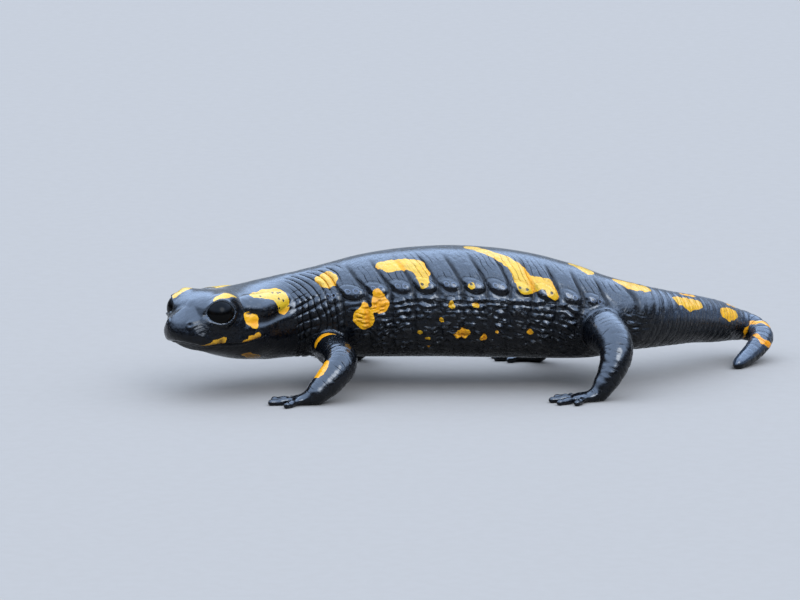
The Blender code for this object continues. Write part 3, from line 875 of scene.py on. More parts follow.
@dataclass(frozen=True)
class BodyGrid:
    """The grid of points round the spine: close on the head and the flanks, wider apart on the tail."""

    columns: int = 188
    tail_from: float = 110.0
    head_gap: float = 0.265
    eye_gap: float = 0.17
    trunk_gap: float = 0.4
    tail_gap: float = 0.55
    end_gap: float = 0.012
    end_growth: float = 0.13
    end_inset: float = 0.004
    samples: int = 40001

    def gap(self, along: Array, length: float) -> Array:
        """The distance between rows at each place, smaller by the square root of the distance to each end."""
        eye = between(along, 4.0, 6.0, 12.0, 14.5)
        base = self.head_gap + (self.eye_gap - self.head_gap) * eye
        base = base + (self.trunk_gap - base) * step(28.0, 36.0, along)
        base = base + (self.tail_gap - base) * step(self.tail_from, self.tail_from + 6.0, along)
        ends = np.minimum(along, 2.0 * (length - along))
        return np.minimum(base, self.end_gap + self.end_growth * np.sqrt(np.maximum(ends, 0.0)))

    def rows(self, length: float) -> Array:
        """The distances of the rows, from just behind the snout to just before the tail's tip."""
        fine = np.linspace(self.end_inset, length - self.end_inset, self.samples)
        count = np.concatenate([[0.0], np.cumsum(np.diff(fine) / self.gap(fine[:-1], length))])
        return np.interp(np.linspace(0.0, count[-1], int(count[-1]) + 1), count, fine)

    def angles(self, along: Array) -> Array:
        """Each row's angles, closest round the eyes on the head and widest under the belly.

        Formula: the running total of a density over the half turn from the back, scaled to half the columns.

        Args:
            along: the rows' distances.

        Returns:
            Radians for each row and column; the first half of the columns is the right side.
        """
        fine = np.linspace(0.0, 180.0, 721)
        head = 1.0 + 1.1 * hill(fine - 54.0, 24.0) + 0.35 * hill(fine - 98.0, 12.0)
        head = head - 0.35 * step(120.0, 150.0, fine)
        trunk = 1.0 - 0.55 * step(128.0, 158.0, fine) + 0.25 * hill(fine - 80.0, 40.0)
        half = self.columns // 2
        spread = np.linspace(0.0, 1.0, half + 1)
        sets = []
        for density in (head, trunk):
            total = np.concatenate([[0.0], np.cumsum((density[1:] + density[:-1]) / 2)])
            sets.append(np.interp(spread, total / total[-1], fine))
        share = step(24.0, 40.0, along)[:, None]
        from_back = np.radians(sets[0] * (1 - share) + sets[1] * share)
        signed = np.concatenate([-from_back[:, half - 1 : 0 : -1], from_back], axis=1)
        return math.pi / 2 - signed

    def lie(self, spine: Spine) -> Lie:
        """Works out the plain surface on the grid.

        Args:
            spine: the animal's spine.

        Returns:
            The surface's points and normals, with their measures along and round the body.
        """
        along = self.rows(spine.length)
        angle = self.angles(along)
        points = spine.surface(along, angle)
        half = self.columns // 2
        ring = np.concatenate([points[:, -1:], points], axis=1)
        pieces = np.linalg.norm(np.diff(ring, axis=1), axis=-1)
        total = np.cumsum(pieces, axis=1)
        girth = total - total[:, half - 1 : half]
        down = np.gradient(points, axis=0)
        round_body = np.roll(points, -1, axis=1) - np.roll(points, 1, axis=1)
        normals = unit(np.cross(round_body, down))
        return Lie(np.broadcast_to(along[:, None], angle.shape), angle, girth, points, normals)

    def faces(self, rows: int, tail_row: int) -> tuple[Ints, Ints, Ints]:
        """Numbers the grid's faces, with every second column left out on the tail.

        Args:
            rows: how many rows.
            tail_row: the first row with half the columns.

        Returns:
            Which grid points are kept, the quads and the triangles; two more points close the ends.
        """
        columns, half = self.columns, self.columns // 2
        numbers = np.arange(rows * columns).reshape(rows, columns)
        kept = np.concatenate([numbers[:tail_row].ravel(), numbers[tail_row:, ::2].ravel()])
        split = tail_row * columns
        quads = [grid_faces(tail_row, columns), grid_faces(rows - tail_row, half, split)]
        fine = np.arange(columns) + split - columns
        coarse = np.arange(half) + split
        even, odd = fine[0::2], fine[1::2]
        next_even, next_coarse = np.roll(even, -1), np.roll(coarse, -1)
        triangles = [
            np.stack([even, odd, coarse], axis=-1),
            np.stack([odd, next_coarse, coarse], axis=-1),
            np.stack([odd, next_even, next_coarse], axis=-1),
        ]
        snout, tip = len(kept), len(kept) + 1
        triangles.append(fan(snout, np.arange(columns), True))
        triangles.append(fan(tip, np.arange(half) + len(kept) - half, False))
        return kept, np.concatenate(quads), np.concatenate(triangles)


# --- colours on the skin ------------------------------------------------------------------------------


@dataclass(frozen=True)
class Stroke:
    """One coloured patch: discs at the places of a chain, joined by tapered lengths.

    A place holds its coordinates and then its radius, in millimetres. On the body the coordinates are the
    distances along from the snout and round from the middle of the back, to the left. The tone runs from 0,
    lemon, through 1, orange, to 2, brown.
    """

    tone: float
    places: tuple[tuple[float, ...], ...]


BODY_STROKES = (
    Stroke(0.15, ((16.9, 6.7, 0.7), (20.3, 6.5, 1.7), (24.0, 6.8, 2.2), (26.4, 8.2, 3.1), (27.3, 9.4, 2.2))),
    Stroke(0.5, ((13.5, 10.6, 0.8), (14.3, 11.6, 1.3), (14.5, 12.2, 1.15))),
    Stroke(1.7, ((2.0, 11.3, 0.6), (4.6, 13.2, 0.7), (7.4, 15.5, 0.7))),
    Stroke(1.5, ((12.2, 16.2, 0.55), (13.8, 15.55, 0.85), (15.0, 15.15, 0.8))),
    Stroke(1.8, ((15.6, 21.0, 1.0), (18.6, 22.6, 1.1))),
    Stroke(0.0, ((6.8, 5.4, 0.6), (8.8, 6.0, 0.9), (10.9, 6.2, 0.8))),
    Stroke(0.0, ((6.2, -5.4, 0.8), (8.2, -5.0, 1.0), (10.0, -4.9, 0.6))),
    Stroke(0.1, ((38.9, 6.1, 1.0), (40.8, 6.9, 2.2), (42.0, 7.9, 1.8))),
    Stroke(0.85, ((51.4, 14.1, 0.9), (51.9, 16.5, 1.9))),
    Stroke(0.65, ((48.7, 15.9, 0.7), (48.3, 18.0, 1.8), (48.7, 19.4, 1.7))),
    Stroke(0.0, ((52.6, 7.1, 1.1), (54.6, 7.9, 1.8), (57.4, 7.9, 1.5), (59.7, 8.7, 1.5))),
    Stroke(0.2, ((59.7, 8.7, 1.5), (60.7, 11.0, 1.3), (61.0, 13.5, 1.1))),
    Stroke(0.05, ((70.0, 0.3, 1.2), (71.0, 1.2, 1.1), (73.2, 3.2, 1.1), (76.8, 5.6, 1.25), (79.6, 8.2, 1.5))),
    Stroke(0.2, ((79.6, 8.2, 1.5), (80.6, 10.6, 1.6), (81.6, 12.0, 1.9), (83.0, 11.8, 1.4))),
    Stroke(0.25, ((83.0, 10.4, 1.0), (85.8, 10.6, 1.4), (87.0, 12.3, 1.3))),
    Stroke(0.2, ((90.9, 0.5, 1.0), (93.8, 1.7, 1.7))),
    Stroke(0.2, ((100.8, 1.7, 1.0), (103.3, 2.5, 1.7), (106.2, 2.4, 1.3))),
    Stroke(0.32, ((113.4, 4.4, 1.0), (117.0, 4.9, 1.6), (120.9, 4.5, 1.15))),
    Stroke(0.8, ((117.6, 1.7, 0.5), (122.0, 1.6, 0.6))),
    Stroke(0.38, ((129.8, 5.2, 1.1), (132.3, 4.9, 1.45), (134.6, 4.3, 1.1))),
    Stroke(0.8, ((134.0, 1.8, 0.4), (137.5, 1.2, 0.5))),
    Stroke(
        0.9, ((141.9, 8.3, 0.5), (140.8, 6.3, 0.5), (142.4, 4.3, 0.5), (146.0, 1.2, 0.5), (147.0, -2.2, 0.4))
    ),
    Stroke(1.1, ((151.1, 0.5, 0.5), (152.2, -1.8, 0.6), (150.6, -4.4, 0.5))),
    Stroke(0.1, ((70.5, 14.0, 0.75),)),
    Stroke(0.3, ((66.6, 17.5, 0.4), (66.5, 18.2, 0.4), (67.1, 18.5, 0.4))),
    Stroke(0.3, ((71.3, 18.0, 0.35), (72.1, 18.1, 0.35))),
    Stroke(0.2, ((64.6, 21.4, 0.55),)),
    Stroke(0.2, ((59.8, 23.8, 0.55),)),
    Stroke(0.3, ((61.5, 25.5, 0.5),)),
    Stroke(1.2, ((61.5, 27.8, 0.5),)),
    Stroke(0.8, ((67.7, 24.8, 0.7), (69.2, 24.5, 1.0), (70.1, 24.1, 0.7))),
    Stroke(0.8, ((73.5, 25.2, 0.8),)),
    Stroke(0.9, ((76.3, 23.3, 0.4),)),
    Stroke(0.4, ((83.5, 21.6, 0.7),)),
    Stroke(1.3, ((98.2, 11.2, 0.35), (98.9, 11.0, 0.35))),
    # the far side
    Stroke(0.15, ((16.6, -6.6, 0.6), (19.6, -7.0, 1.6), (22.8, -8.2, 2.7), (24.0, -9.6, 2.2))),
    Stroke(0.5, ((13.6, -10.9, 1.2), (14.6, -12.2, 1.4))),
    Stroke(0.1, ((36.4, -4.6, 1.2), (38.2, -6.6, 1.9))),
    Stroke(0.2, ((46.2, -7.4, 1.3), (48.8, -9.0, 2.0), (50.6, -11.8, 1.6))),
    Stroke(0.8, ((55.4, -16.4, 1.9), (56.2, -18.4, 1.6))),
    Stroke(0.05, ((63.6, -5.4, 1.4), (66.0, -8.0, 1.9), (67.4, -11.4, 1.6), (68.2, -13.8, 1.1))),
    Stroke(
        0.1, ((76.0, -4.8, 1.3), (79.0, -6.2, 1.9), (82.4, -6.6, 1.7), (85.6, -8.6, 1.5), (87.2, -11.4, 1.2))
    ),
    Stroke(0.2, ((92.6, -2.6, 1.2), (96.4, -4.4, 1.8), (99.4, -5.4, 1.2))),
    Stroke(0.2, ((107.6, -3.0, 1.0), (111.4, -3.9, 1.4))),
    Stroke(0.2, ((119.8, -4.6, 0.9), (124.6, -5.0, 1.2), (127.8, -4.6, 0.9))),
    Stroke(0.3, ((61.0, -20.8, 0.6),)),
    Stroke(0.3, ((72.6, -16.6, 0.8),)),
    Stroke(0.6, ((77.8, -22.4, 0.9), (79.2, -22.8, 0.7))),
    Stroke(0.4, ((89.2, -18.6, 0.7),)),
)  # fmt: skip


def patched(points: Array, strokes: tuple[Stroke, ...], blend: float = 0.22) -> tuple[Array, Array]:
    """How far points lie outside the nearest coloured patch, and that patch's tone.

    Formula: each length between two discs is a tapered rod, and the distances to all the rods are joined by
    -b ln(sum of exp(-d / b)), which rounds the corners between them. The tone is their mean with those
    weights.

    Args:
        points: places, in the coordinates of the strokes.
        strokes: the patches.
        blend: b, in millimetres.

    Returns:
        The distance, negative inside a patch, and the tone.
    """
    total = np.full(points.shape[:-1], 1e-16)
    toned = np.full(points.shape[:-1], 0.5e-16)
    for stroke in strokes:
        chain = np.array(stroke.places)
        for one, two in zip(chain, chain[1:] if len(chain) > 1 else chain):
            way = two[:-1] - one[:-1]
            share = np.clip((points - one[:-1]) @ way / max(float(way @ way), TINY), 0.0, 1.0)
            off = np.linalg.norm(points - one[:-1] - share[..., None] * way, axis=-1)
            weight = np.exp(-np.clip((off - one[-1] - share * (two[-1] - one[-1])) / blend, -30.0, 36.0))
            total += weight
            toned += stroke.tone * weight
    return -blend * np.log(total), toned / total


# --- legs, hands and feet -----------------------------------------------------------------------------


@dataclass(frozen=True)
class Leg:
    """One leg from its root in the trunk to the wrist or ankle, with its hand or foot."""

    name: str
    joints: tuple[tuple[float, float, float, float], ...]
    heading: float
    digits: int
    side: float
    strokes: tuple[Stroke, ...] = ()
    rounding: float = 4.6
    sides: int = 40
    ring_gap: float = 0.42
    palm_half: Triple = (2.5, 2.4, 1.4)
    palm_ahead: float = 2.1
    palm_along_limb: float = 1.1
    palm_height: float = 1.0
    palm_rings: int = 16
    palm_sides: int = 26
    palm_mark: float = 30.0
    digit_radii: tuple[float, float] = (0.98, 0.66)
    digit_sides: int = 14
    digit_rings: int = 22
    digit_height: float = 0.58
    digit_drop: tuple[float, ...] = (0.7, 0.35, 0.05, 0.0)
    wrinkle_pitch: float = 1.15
    wrinkle_depth: float = 0.13
    elbow_share: float = 0.63
    elbow_half: float = 2.4
    stem_rings: int = 9
    knuckles: float = 3.0
    knuckle_rise: float = 0.07
    spreads: tuple[tuple[float, ...], ...] = ((-48.0, -16.0, 14.0, 56.0), (-56.0, -28.0, -4.0, 20.0, 48.0))
    reaches: tuple[tuple[float, ...], ...] = ((4.6, 7.0, 7.2, 6.0), (5.0, 7.0, 8.1, 7.8, 6.0))

    def path(self, share: Array) -> tuple[Array, Array, Array]:
        """Centres, radii and directions along the leg, from the trunk (0) to the wrist or ankle (1)."""
        table = np.array(self.joints)
        knots = lengths_along(table[:, :3])
        read, ahead, behind = (
            rounded(knots, table, np.clip(share + offset, 0.0, 1.0) * knots[-1], self.rounding)
            for offset in (0.0, 0.02, -0.02)
        )
        return read[:, :3], read[:, 3], unit(ahead[:, :3] - behind[:, :3])

    def forward(self) -> Array:
        """The direction that the hand or foot points."""
        return np.array([math.cos(math.radians(self.heading)), math.sin(math.radians(self.heading)), 0.0])

    def palm_centre(self) -> Array:
        """The middle of the palm or sole."""
        centre = np.array(self.joints[-1][:3]) + self.forward() * self.palm_ahead
        centre = centre + self.path(np.array([1.0]))[2][0] * self.palm_along_limb
        centre[2] = self.palm_height
        return centre

    def tube(self, centres: Array, radii: Array, sides: int, heights: Array | None = None) -> Array:
        """Rings square to a path.

        Formula: a circle at each centre in the two directions square to the path, turned as little as
        possible from one ring to the next, with its radius changed by the heights.

        Args:
            centres: the path's points.
            radii: one radius for each.
            sides: how many points in a ring.
            heights: what is added to the radius, for each ring and side.

        Returns:
            Points for each ring and side.
        """
        back = unit(np.gradient(centres, axis=0))
        side = unit(np.cross(back[0], UP))
        sideways = []
        for direction in back:
            side = unit(side - direction * np.dot(side, direction))
            sideways.append(side)
        sideways = np.array(sideways)
        other = np.cross(back, sideways)
        turn = turns(sides)
        reach = radii[:, None] + (heights if heights is not None else 0.0)
        cosine, sine = np.cos(turn)[None, :, None], np.sin(turn)[None, :, None]
        round_ring = cosine * sideways[:, None] + sine * other[:, None]
        return centres[:, None, :] + reach[..., None] * round_ring

    def shell(
        self, name: str, rings: Array, along: Array, heights: Array | None = None, phases: Array | None = None
    ) -> bpy.types.Object:
        """Closes rings into a shell with a point at each end.

        Args:
            name: the shell's name.
            rings: points for each ring and side.
            along: each ring's distance along the leg.
            heights: the relief at each ring and side.
            phases: the fine creases' phases and their strength there.

        Returns:
            The shell, with the values that the skin's material reads.
        """
        count, sides = rings.shape[:2]
        points = with_poles(rings)
        lie = np.zeros((len(points), 3))
        lie[:, 0] = np.concatenate([np.repeat(along, sides), along[:1], along[-1:]])
        if heights is not None:
            lie[: count * sides, 2] = heights.ravel()
        fold = np.zeros((len(points), 3))
        if phases is not None:
            fold[: count * sides] = phases.reshape(-1, 3)
        mark, tone = patched(points, self.strokes)
        values = {
            "lie": lie,
            "gland": np.zeros((len(points), 3)),
            "lid": np.full(len(points), FAR),
            "seam": np.full(len(points), FAR),
            "fold": fold,
            "mark": mark,
            "tone": tone,
            "part": np.full(len(points), Part.LEG.value),
        }
        return new_mesh(name, points, grid_faces(count, sides), closed_ends(count, sides, True), values)

    def limb(self) -> bpy.types.Object:
        """The leg down into the palm, with creases across it and a fuller elbow or knee.

        Formula: the rounded path's radius, less narrow creases at every wrinkle pitch, deeper round the elbow
        or knee.
        """
        length = lengths_along(np.array(self.joints)[:, :3])[-1]
        share = np.linspace(0.0, 1.0, int(length / self.ring_gap))
        centres, radii, directions = self.path(share)
        palm = self.palm_centre()
        lead = np.linspace(0.0, 1.0, self.stem_rings)[1:, None]
        bend = centres[-1] + directions[-1] * self.palm_along_limb * 1.6
        stem = (1 - lead) ** 2 * centres[-1] + 2 * lead * (1 - lead) * bend + lead**2 * (palm + UP * 0.1)
        centres = np.concatenate([centres, stem])
        radii = np.concatenate([radii, radii[-1] * (1 - 0.45 * lead[:, 0] ** 1.5)])
        along = lengths_along(centres)
        plain = self.tube(centres, radii, self.sides)
        sway = cloud(plain, 3.0, 21)
        fine = cloud(plain, 1.1, 23)
        phase = (along[:, None] + 0.8 * sway) / self.wrinkle_pitch
        elbow = hill(along[:, None] - self.elbow_share * length, self.elbow_half)
        depth = self.wrinkle_depth * (0.8 + 0.6 * sway + 0.9 * elbow)
        heights = depth * crease(phase) + 0.035 * fine + 0.06 * sway
        rings = self.tube(centres, radii, self.sides, heights)
        phases = np.stack([phase, np.full(phase.shape, 0.5), 0.65 * step(-0.2, 0.6, fine)], axis=-1)
        return self.shell(f"{self.name}_limb", rings, along, heights, phases)

    def palm(self) -> bpy.types.Object:
        """The palm or sole: an ellipsoid, flattened where it meets the floor."""
        turn = np.linspace(0.02, math.pi - 0.02, self.palm_rings)
        forward = self.forward()
        across = np.cross(UP, forward)
        length, width, depth = self.palm_half
        round_palm = turns(self.palm_sides)
        ring = np.cos(round_palm)[:, None] * across * width + np.sin(round_palm)[:, None] * UP * depth
        rings = -np.cos(turn)[:, None, None] * forward * length + np.sin(turn)[:, None, None] * ring[None]
        along = np.full(self.palm_rings, self.palm_mark)
        return self.shell(f"{self.name}_palm", self.palm_centre() + rings, along)

    def digit(self, number: int) -> bpy.types.Object:
        """One finger or toe: a tapered tube from the palm to the floor, with knuckles and a rounded end.

        Args:
            number: which digit, counted from the inner side.

        Returns:
            The digit's shell.
        """
        spread = self.spreads[self.digits - 4][number]
        reach = self.reaches[self.digits - 4][number]
        angle = math.radians(self.heading + self.side * spread)
        direction = np.array([math.cos(angle), math.sin(angle), 0.0])
        knots = np.linspace(0.12, 1.0, len(self.digit_drop)) * reach
        share = np.linspace(0.0, 1.0, self.digit_rings)
        along = knots[0] + (knots[-1] + 0.3 - knots[0]) * np.sin(share * math.pi / 2) ** 0.9
        centres = self.palm_centre() + along[:, None] * direction
        radius = np.interp(along, [knots[0], knots[-1]], self.digit_radii)
        knuckles = 1 + self.knuckle_rise * np.cos(2 * np.pi * (along / reach * self.knuckles))
        knuckles = knuckles - 0.05 * hill(along / reach - 0.84, 0.05)
        to_end = np.clip((along - knots[-1] + 0.55) / 0.86, 0.0, 1.0)
        cap = np.sqrt(np.clip(1 - to_end**2, 0.0004, 1.0))
        centres[:, 2] = self.digit_height + smooth(knots, np.array(self.digit_drop)[:, None], along)[:, 0]
        rings = self.tube(centres, radius * knuckles * cap, self.digit_sides)
        return self.shell(f"{self.name}_digit_{number}", rings, self.palm_mark + along)

    def build(self) -> bpy.types.Object:
        """The whole leg as one closed shell."""
        limb = self.limb()
        return united(limb, [self.palm(), *(self.digit(number) for number in range(self.digits))])


LEGS = (
    Leg(
        "left_arm",
        ((-30.2, -3.5, 10.4, 4.0), (-29.0, -10.2, 8.9, 3.5), (-27.3, -15.6, 8.6, 3.4),
         (-25.6, -20.0, 8.2, 3.5), (-28.0, -22.8, 5.2, 3.35), (-31.4, -25.2, 2.5, 2.5)),
        176.0, 4, 1.0,
        (
            Stroke(0.8, ((-30.2, -23.4, 8.2, 1.2), (-31.2, -24.6, 6.8, 1.5))),
            Stroke(
                0.9,
                ((-32.1, -11.6, 9.9, 0.7), (-31.3, -11.6, 11.3, 0.8), (-29.9, -11.6, 12.2, 0.8),
                 (-28.2, -11.8, 12.4, 0.5)),
            ),
        ),
    ),
    Leg(
        "right_arm",
        ((-29.8, 3.5, 10.8, 4.0), (-28.0, 10.0, 9.6, 3.6), (-24.8, 15.2, 9.4, 3.5),
         (-21.4, 19.0, 8.6, 3.4), (-21.2, 22.2, 5.5, 3.2), (-23.4, 24.6, 2.5, 2.4)),
        150.0, 4, -1.0,
    ),
    Leg(
        "left_leg",
        ((26.6, -3.0, 13.0, 5.2), (28.0, -9.6, 12.6, 4.7), (29.8, -14.0, 12.0, 4.2),
         (31.4, -17.6, 10.3, 3.6), (30.1, -19.8, 6.2, 3.05), (27.3, -21.3, 2.3, 2.2)),
        196.0, 5, 1.0,
    ),
    Leg(
        "right_leg",
        ((26.2, 3.0, 13.0, 5.2), (24.6, 9.6, 12.4, 4.6), (21.8, 14.2, 11.8, 4.1),
         (18.8, 17.8, 10.1, 3.6), (17.3, 20.5, 6.2, 3.05), (15.4, 22.6, 2.3, 2.2)),
        156.0, 5, -1.0,
    ),
)  # fmt: skip


# --- the whole skin -----------------------------------------------------------------------------------


@dataclass(frozen=True)
class Skin:
    """The one skin: the body's grid with the four legs joined in."""

    spine: Spine = field(default_factory=Spine)
    head: Head = field(default_factory=Head)
    folds: Folds = field(default_factory=Folds)
    grid: BodyGrid = field(default_factory=BodyGrid)
    join_reach: float = 2.2
    join_rounds: int = 36
    join_steps: int = 12
    join_share: float = 0.6

    def body(self) -> bpy.types.Object:
        """The body's grid with all its small forms, and the values that its material reads."""
        lie = self.grid.lie(self.spine)
        height = self.head.relief(self.spine, lie)
        folded, gland = self.folds.relief(lie)
        height = height + folded
        points = lie.points + lie.normals * height[..., None]
        points = self.head.tucked(self.spine, points)
        points, lids = self.head.lids(self.spine, points)
        above, reach = self.head.above_mouth(self.spine, lie.points)
        mouth = np.where((reach < self.head.mouth_rear + 0.6) & (lie.along < 30.0), above, FAR)
        off_nostril = self.head.off_nostril(self.spine, lie.points)
        seam = np.minimum(np.abs(mouth), np.maximum(off_nostril - 0.22, 0.0))
        tail_row = int(np.searchsorted(lie.along[:, 0], self.grid.tail_from))
        kept, quads, triangles = self.grid.faces(points.shape[0], tail_row)
        leaning = self.folds.leaning(lie, self.folds.gland_row(lie))
        mark, tone = patched(np.stack([lie.along, lie.girth], axis=-1), BODY_STROKES)
        bare = np.where((mouth < 0.2) & (mouth > -1.4), 0.15 - mouth, 0.45 - lids)
        values = {
            "lie": np.stack([leaning, lie.side, height], axis=-1),
            "gland": np.where(lie.along[..., None] < 33.0, self.head.gland_place(lie), gland),
            "fold": self.folds.creases(lie),
            "lid": lids,
            "mark": np.maximum(mark, bare),
            "seam": seam,
            "tone": tone,
            "part": np.full(lids.shape, Part.SPINE.value),
        }
        listed = {label: with_poles(rows, kept) for label, rows in values.items()}
        return new_mesh("skin", with_poles(points, kept), quads, triangles, listed)

    def blended(self, skin: bpy.types.Object) -> None:
        """Rounds the hollows where the legs join the body.

        Formula: a weight of 1 on the joining lines falls to 0 at the join's reach along the edges, and each
        point goes that share of the way to the mean of its neighbours, round after round.

        Args:
            skin: the joined skin.
        """
        mesh = skin.data
        points, edges = read_points(mesh), edges_of(mesh)
        part = np.empty(len(points), np.float32)
        mesh.attributes["part"].data.foreach_get("value", part)
        new = part == 0
        self.filled(mesh, edges, new)
        weight = new.astype(float)
        one, two = edges[:, 0], edges[:, 1]
        spans = np.linalg.norm(points[one] - points[two], axis=1) / self.join_reach
        for _ in range(self.join_steps):
            reached = weight.copy()
            np.maximum.at(reached, two, weight[one] - spans)
            np.maximum.at(reached, one, weight[two] - spans)
            weight = reached
        count = np.bincount(edges.ravel(), minlength=len(points))
        share = (self.join_share * np.clip(weight, 0.0, 1.0))[:, None]
        for _ in range(self.join_rounds):
            total = np.zeros_like(points)
            for axis in range(3):
                total[:, axis] = np.bincount(one, points[two, axis], len(points))
                total[:, axis] += np.bincount(two, points[one, axis], len(points))
            points = points + share * (total / count[:, None] - points)
        points[:, 2] = np.maximum(points[:, 2], 0.0)
        write_points(mesh, points)

    def filled(self, mesh: bpy.types.Mesh, edges: Ints, new: NDArray[np.bool_]) -> None:
        """Gives the joining lines' new points the mean values of the older points round them.

        Args:
            mesh: the joined skin's mesh.
            edges: two point numbers for each edge.
            new: which points are new.
        """
        both = np.concatenate([edges, edges[:, ::-1]])
        both = both[new[both[:, 0]] & ~new[both[:, 1]]]
        count = np.bincount(both[:, 0], minlength=len(new))
        for label in ("lie", "gland", "fold", "lid", "seam", "mark", "tone"):
            data = mesh.attributes[label].data
            key, width = ("vector", 3) if label in ("lie", "gland", "fold") else ("value", 1)
            flat = np.empty(len(new) * width, np.float32)
            data.foreach_get(key, flat)
            rows = flat.reshape(-1, width)
            sums = [np.bincount(both[:, 0], rows[both[:, 1], axis], len(new)) for axis in range(width)]
            total = np.stack(sums, axis=-1)
            use = new & (count > 0)
            rows[use] = total[use] / count[use, None]
            rows[new & (count == 0)] = FAR
            data.foreach_set(key, rows.ravel())

    def build(self) -> bpy.types.Object:
        """The finished skin."""
        body = self.body()
        legs = [leg.build() for leg in LEGS]
        skin = united(body, legs)
        self.blended(skin)
        write_points(skin.data, np.clip(read_points(skin.data), *(np.array(CAD_BOX) / MM + ORIGIN)))
        skin.data.shade_smooth()
        skin.data.materials.clear()
        skin.data.polygons.foreach_set("material_index", np.zeros(len(skin.data.polygons), np.int32))
        return skin


@dataclass(frozen=True)
class Eye:
    """One eyeball: a ball that fills its socket, a little flatter than the cornea that bulges from it."""

    side: float
    head: Head
    spine: Spine
    rings: int = 64
    columns: int = 96

    def build(self) -> bpy.types.Object:
        """The eyeball's grid: rings round its outward axis, from the cornea back."""
        centre, outward, backward, _ = self.head.eye_axes(self.spine, self.side)
        down = np.cross(outward, backward)
        turn = np.linspace(0.012, math.pi - 0.012, self.rings)
        round_eye = turns(self.columns)
        circle = np.cos(round_eye)[:, None] * backward + np.sin(round_eye)[:, None] * down
        radius = self.head.eye_radius * (1 - 0.02 * (1 - hill(turn, 0.8)))
        rings = np.cos(turn)[:, None, None] * outward + np.sin(turn)[:, None, None] * circle[None]
        points = centre + radius[:, None, None] * rings
        quads = grid_faces(self.rings, self.columns)[:, ::-1]
        ends = closed_ends(self.rings, self.columns, False)
        side = "left" if self.side > 0 else "right"
        return new_mesh(f"eyeball_{side}", with_poles(points), quads, ends, {})


# --- finishes -----------------------------------------------------------------------------------------

Socket = bpy.types.NodeSocket


@dataclass(frozen=True)
class Wire:
    """One output of a node, reckoned with as a number is: each sum or product adds a Math node."""

    nodes: "Nodes"
    socket: Socket

    def math(self, operation: str, *values: Any) -> "Wire":
        """One Math node's result, with this value as its first number."""
        return self.nodes.math(operation, self, *values)

    def __add__(self, other: Any) -> "Wire":
        """The sum."""
        return self.math("ADD", other)

    def __sub__(self, other: Any) -> "Wire":
        """The difference."""
        return self.math("SUBTRACT", other)

    def __rsub__(self, other: float) -> "Wire":
        """The difference from a plain number."""
        return self.nodes.math("SUBTRACT", other, self)

    def __mul__(self, other: Any) -> "Wire":
        """The product."""
        return self.math("MULTIPLY", other)

    def __truediv__(self, other: float) -> "Wire":
        """The quotient."""
        return self.math("DIVIDE", other)

    def __rtruediv__(self, other: float) -> "Wire":
        """A plain number divided by this value."""
        return self.nodes.math("DIVIDE", other, self)

    def __pow__(self, other: float) -> "Wire":
        """The power."""
        return self.math("POWER", other)

    def __abs__(self) -> "Wire":
        """The value without its sign."""
        return self.math("ABSOLUTE")

    def fade(self, low: float, high: float, start: float = 0.0, end: float = 1.0) -> "Wire":
        """Goes from start at low to end at high by 3t² - 2t³."""
        numbers = {0: self, 1: low, 2: high, 3: start, 4: end}
        return self.nodes.wire(0, "MapRange", numbers, interpolation_type="SMOOTHSTEP")


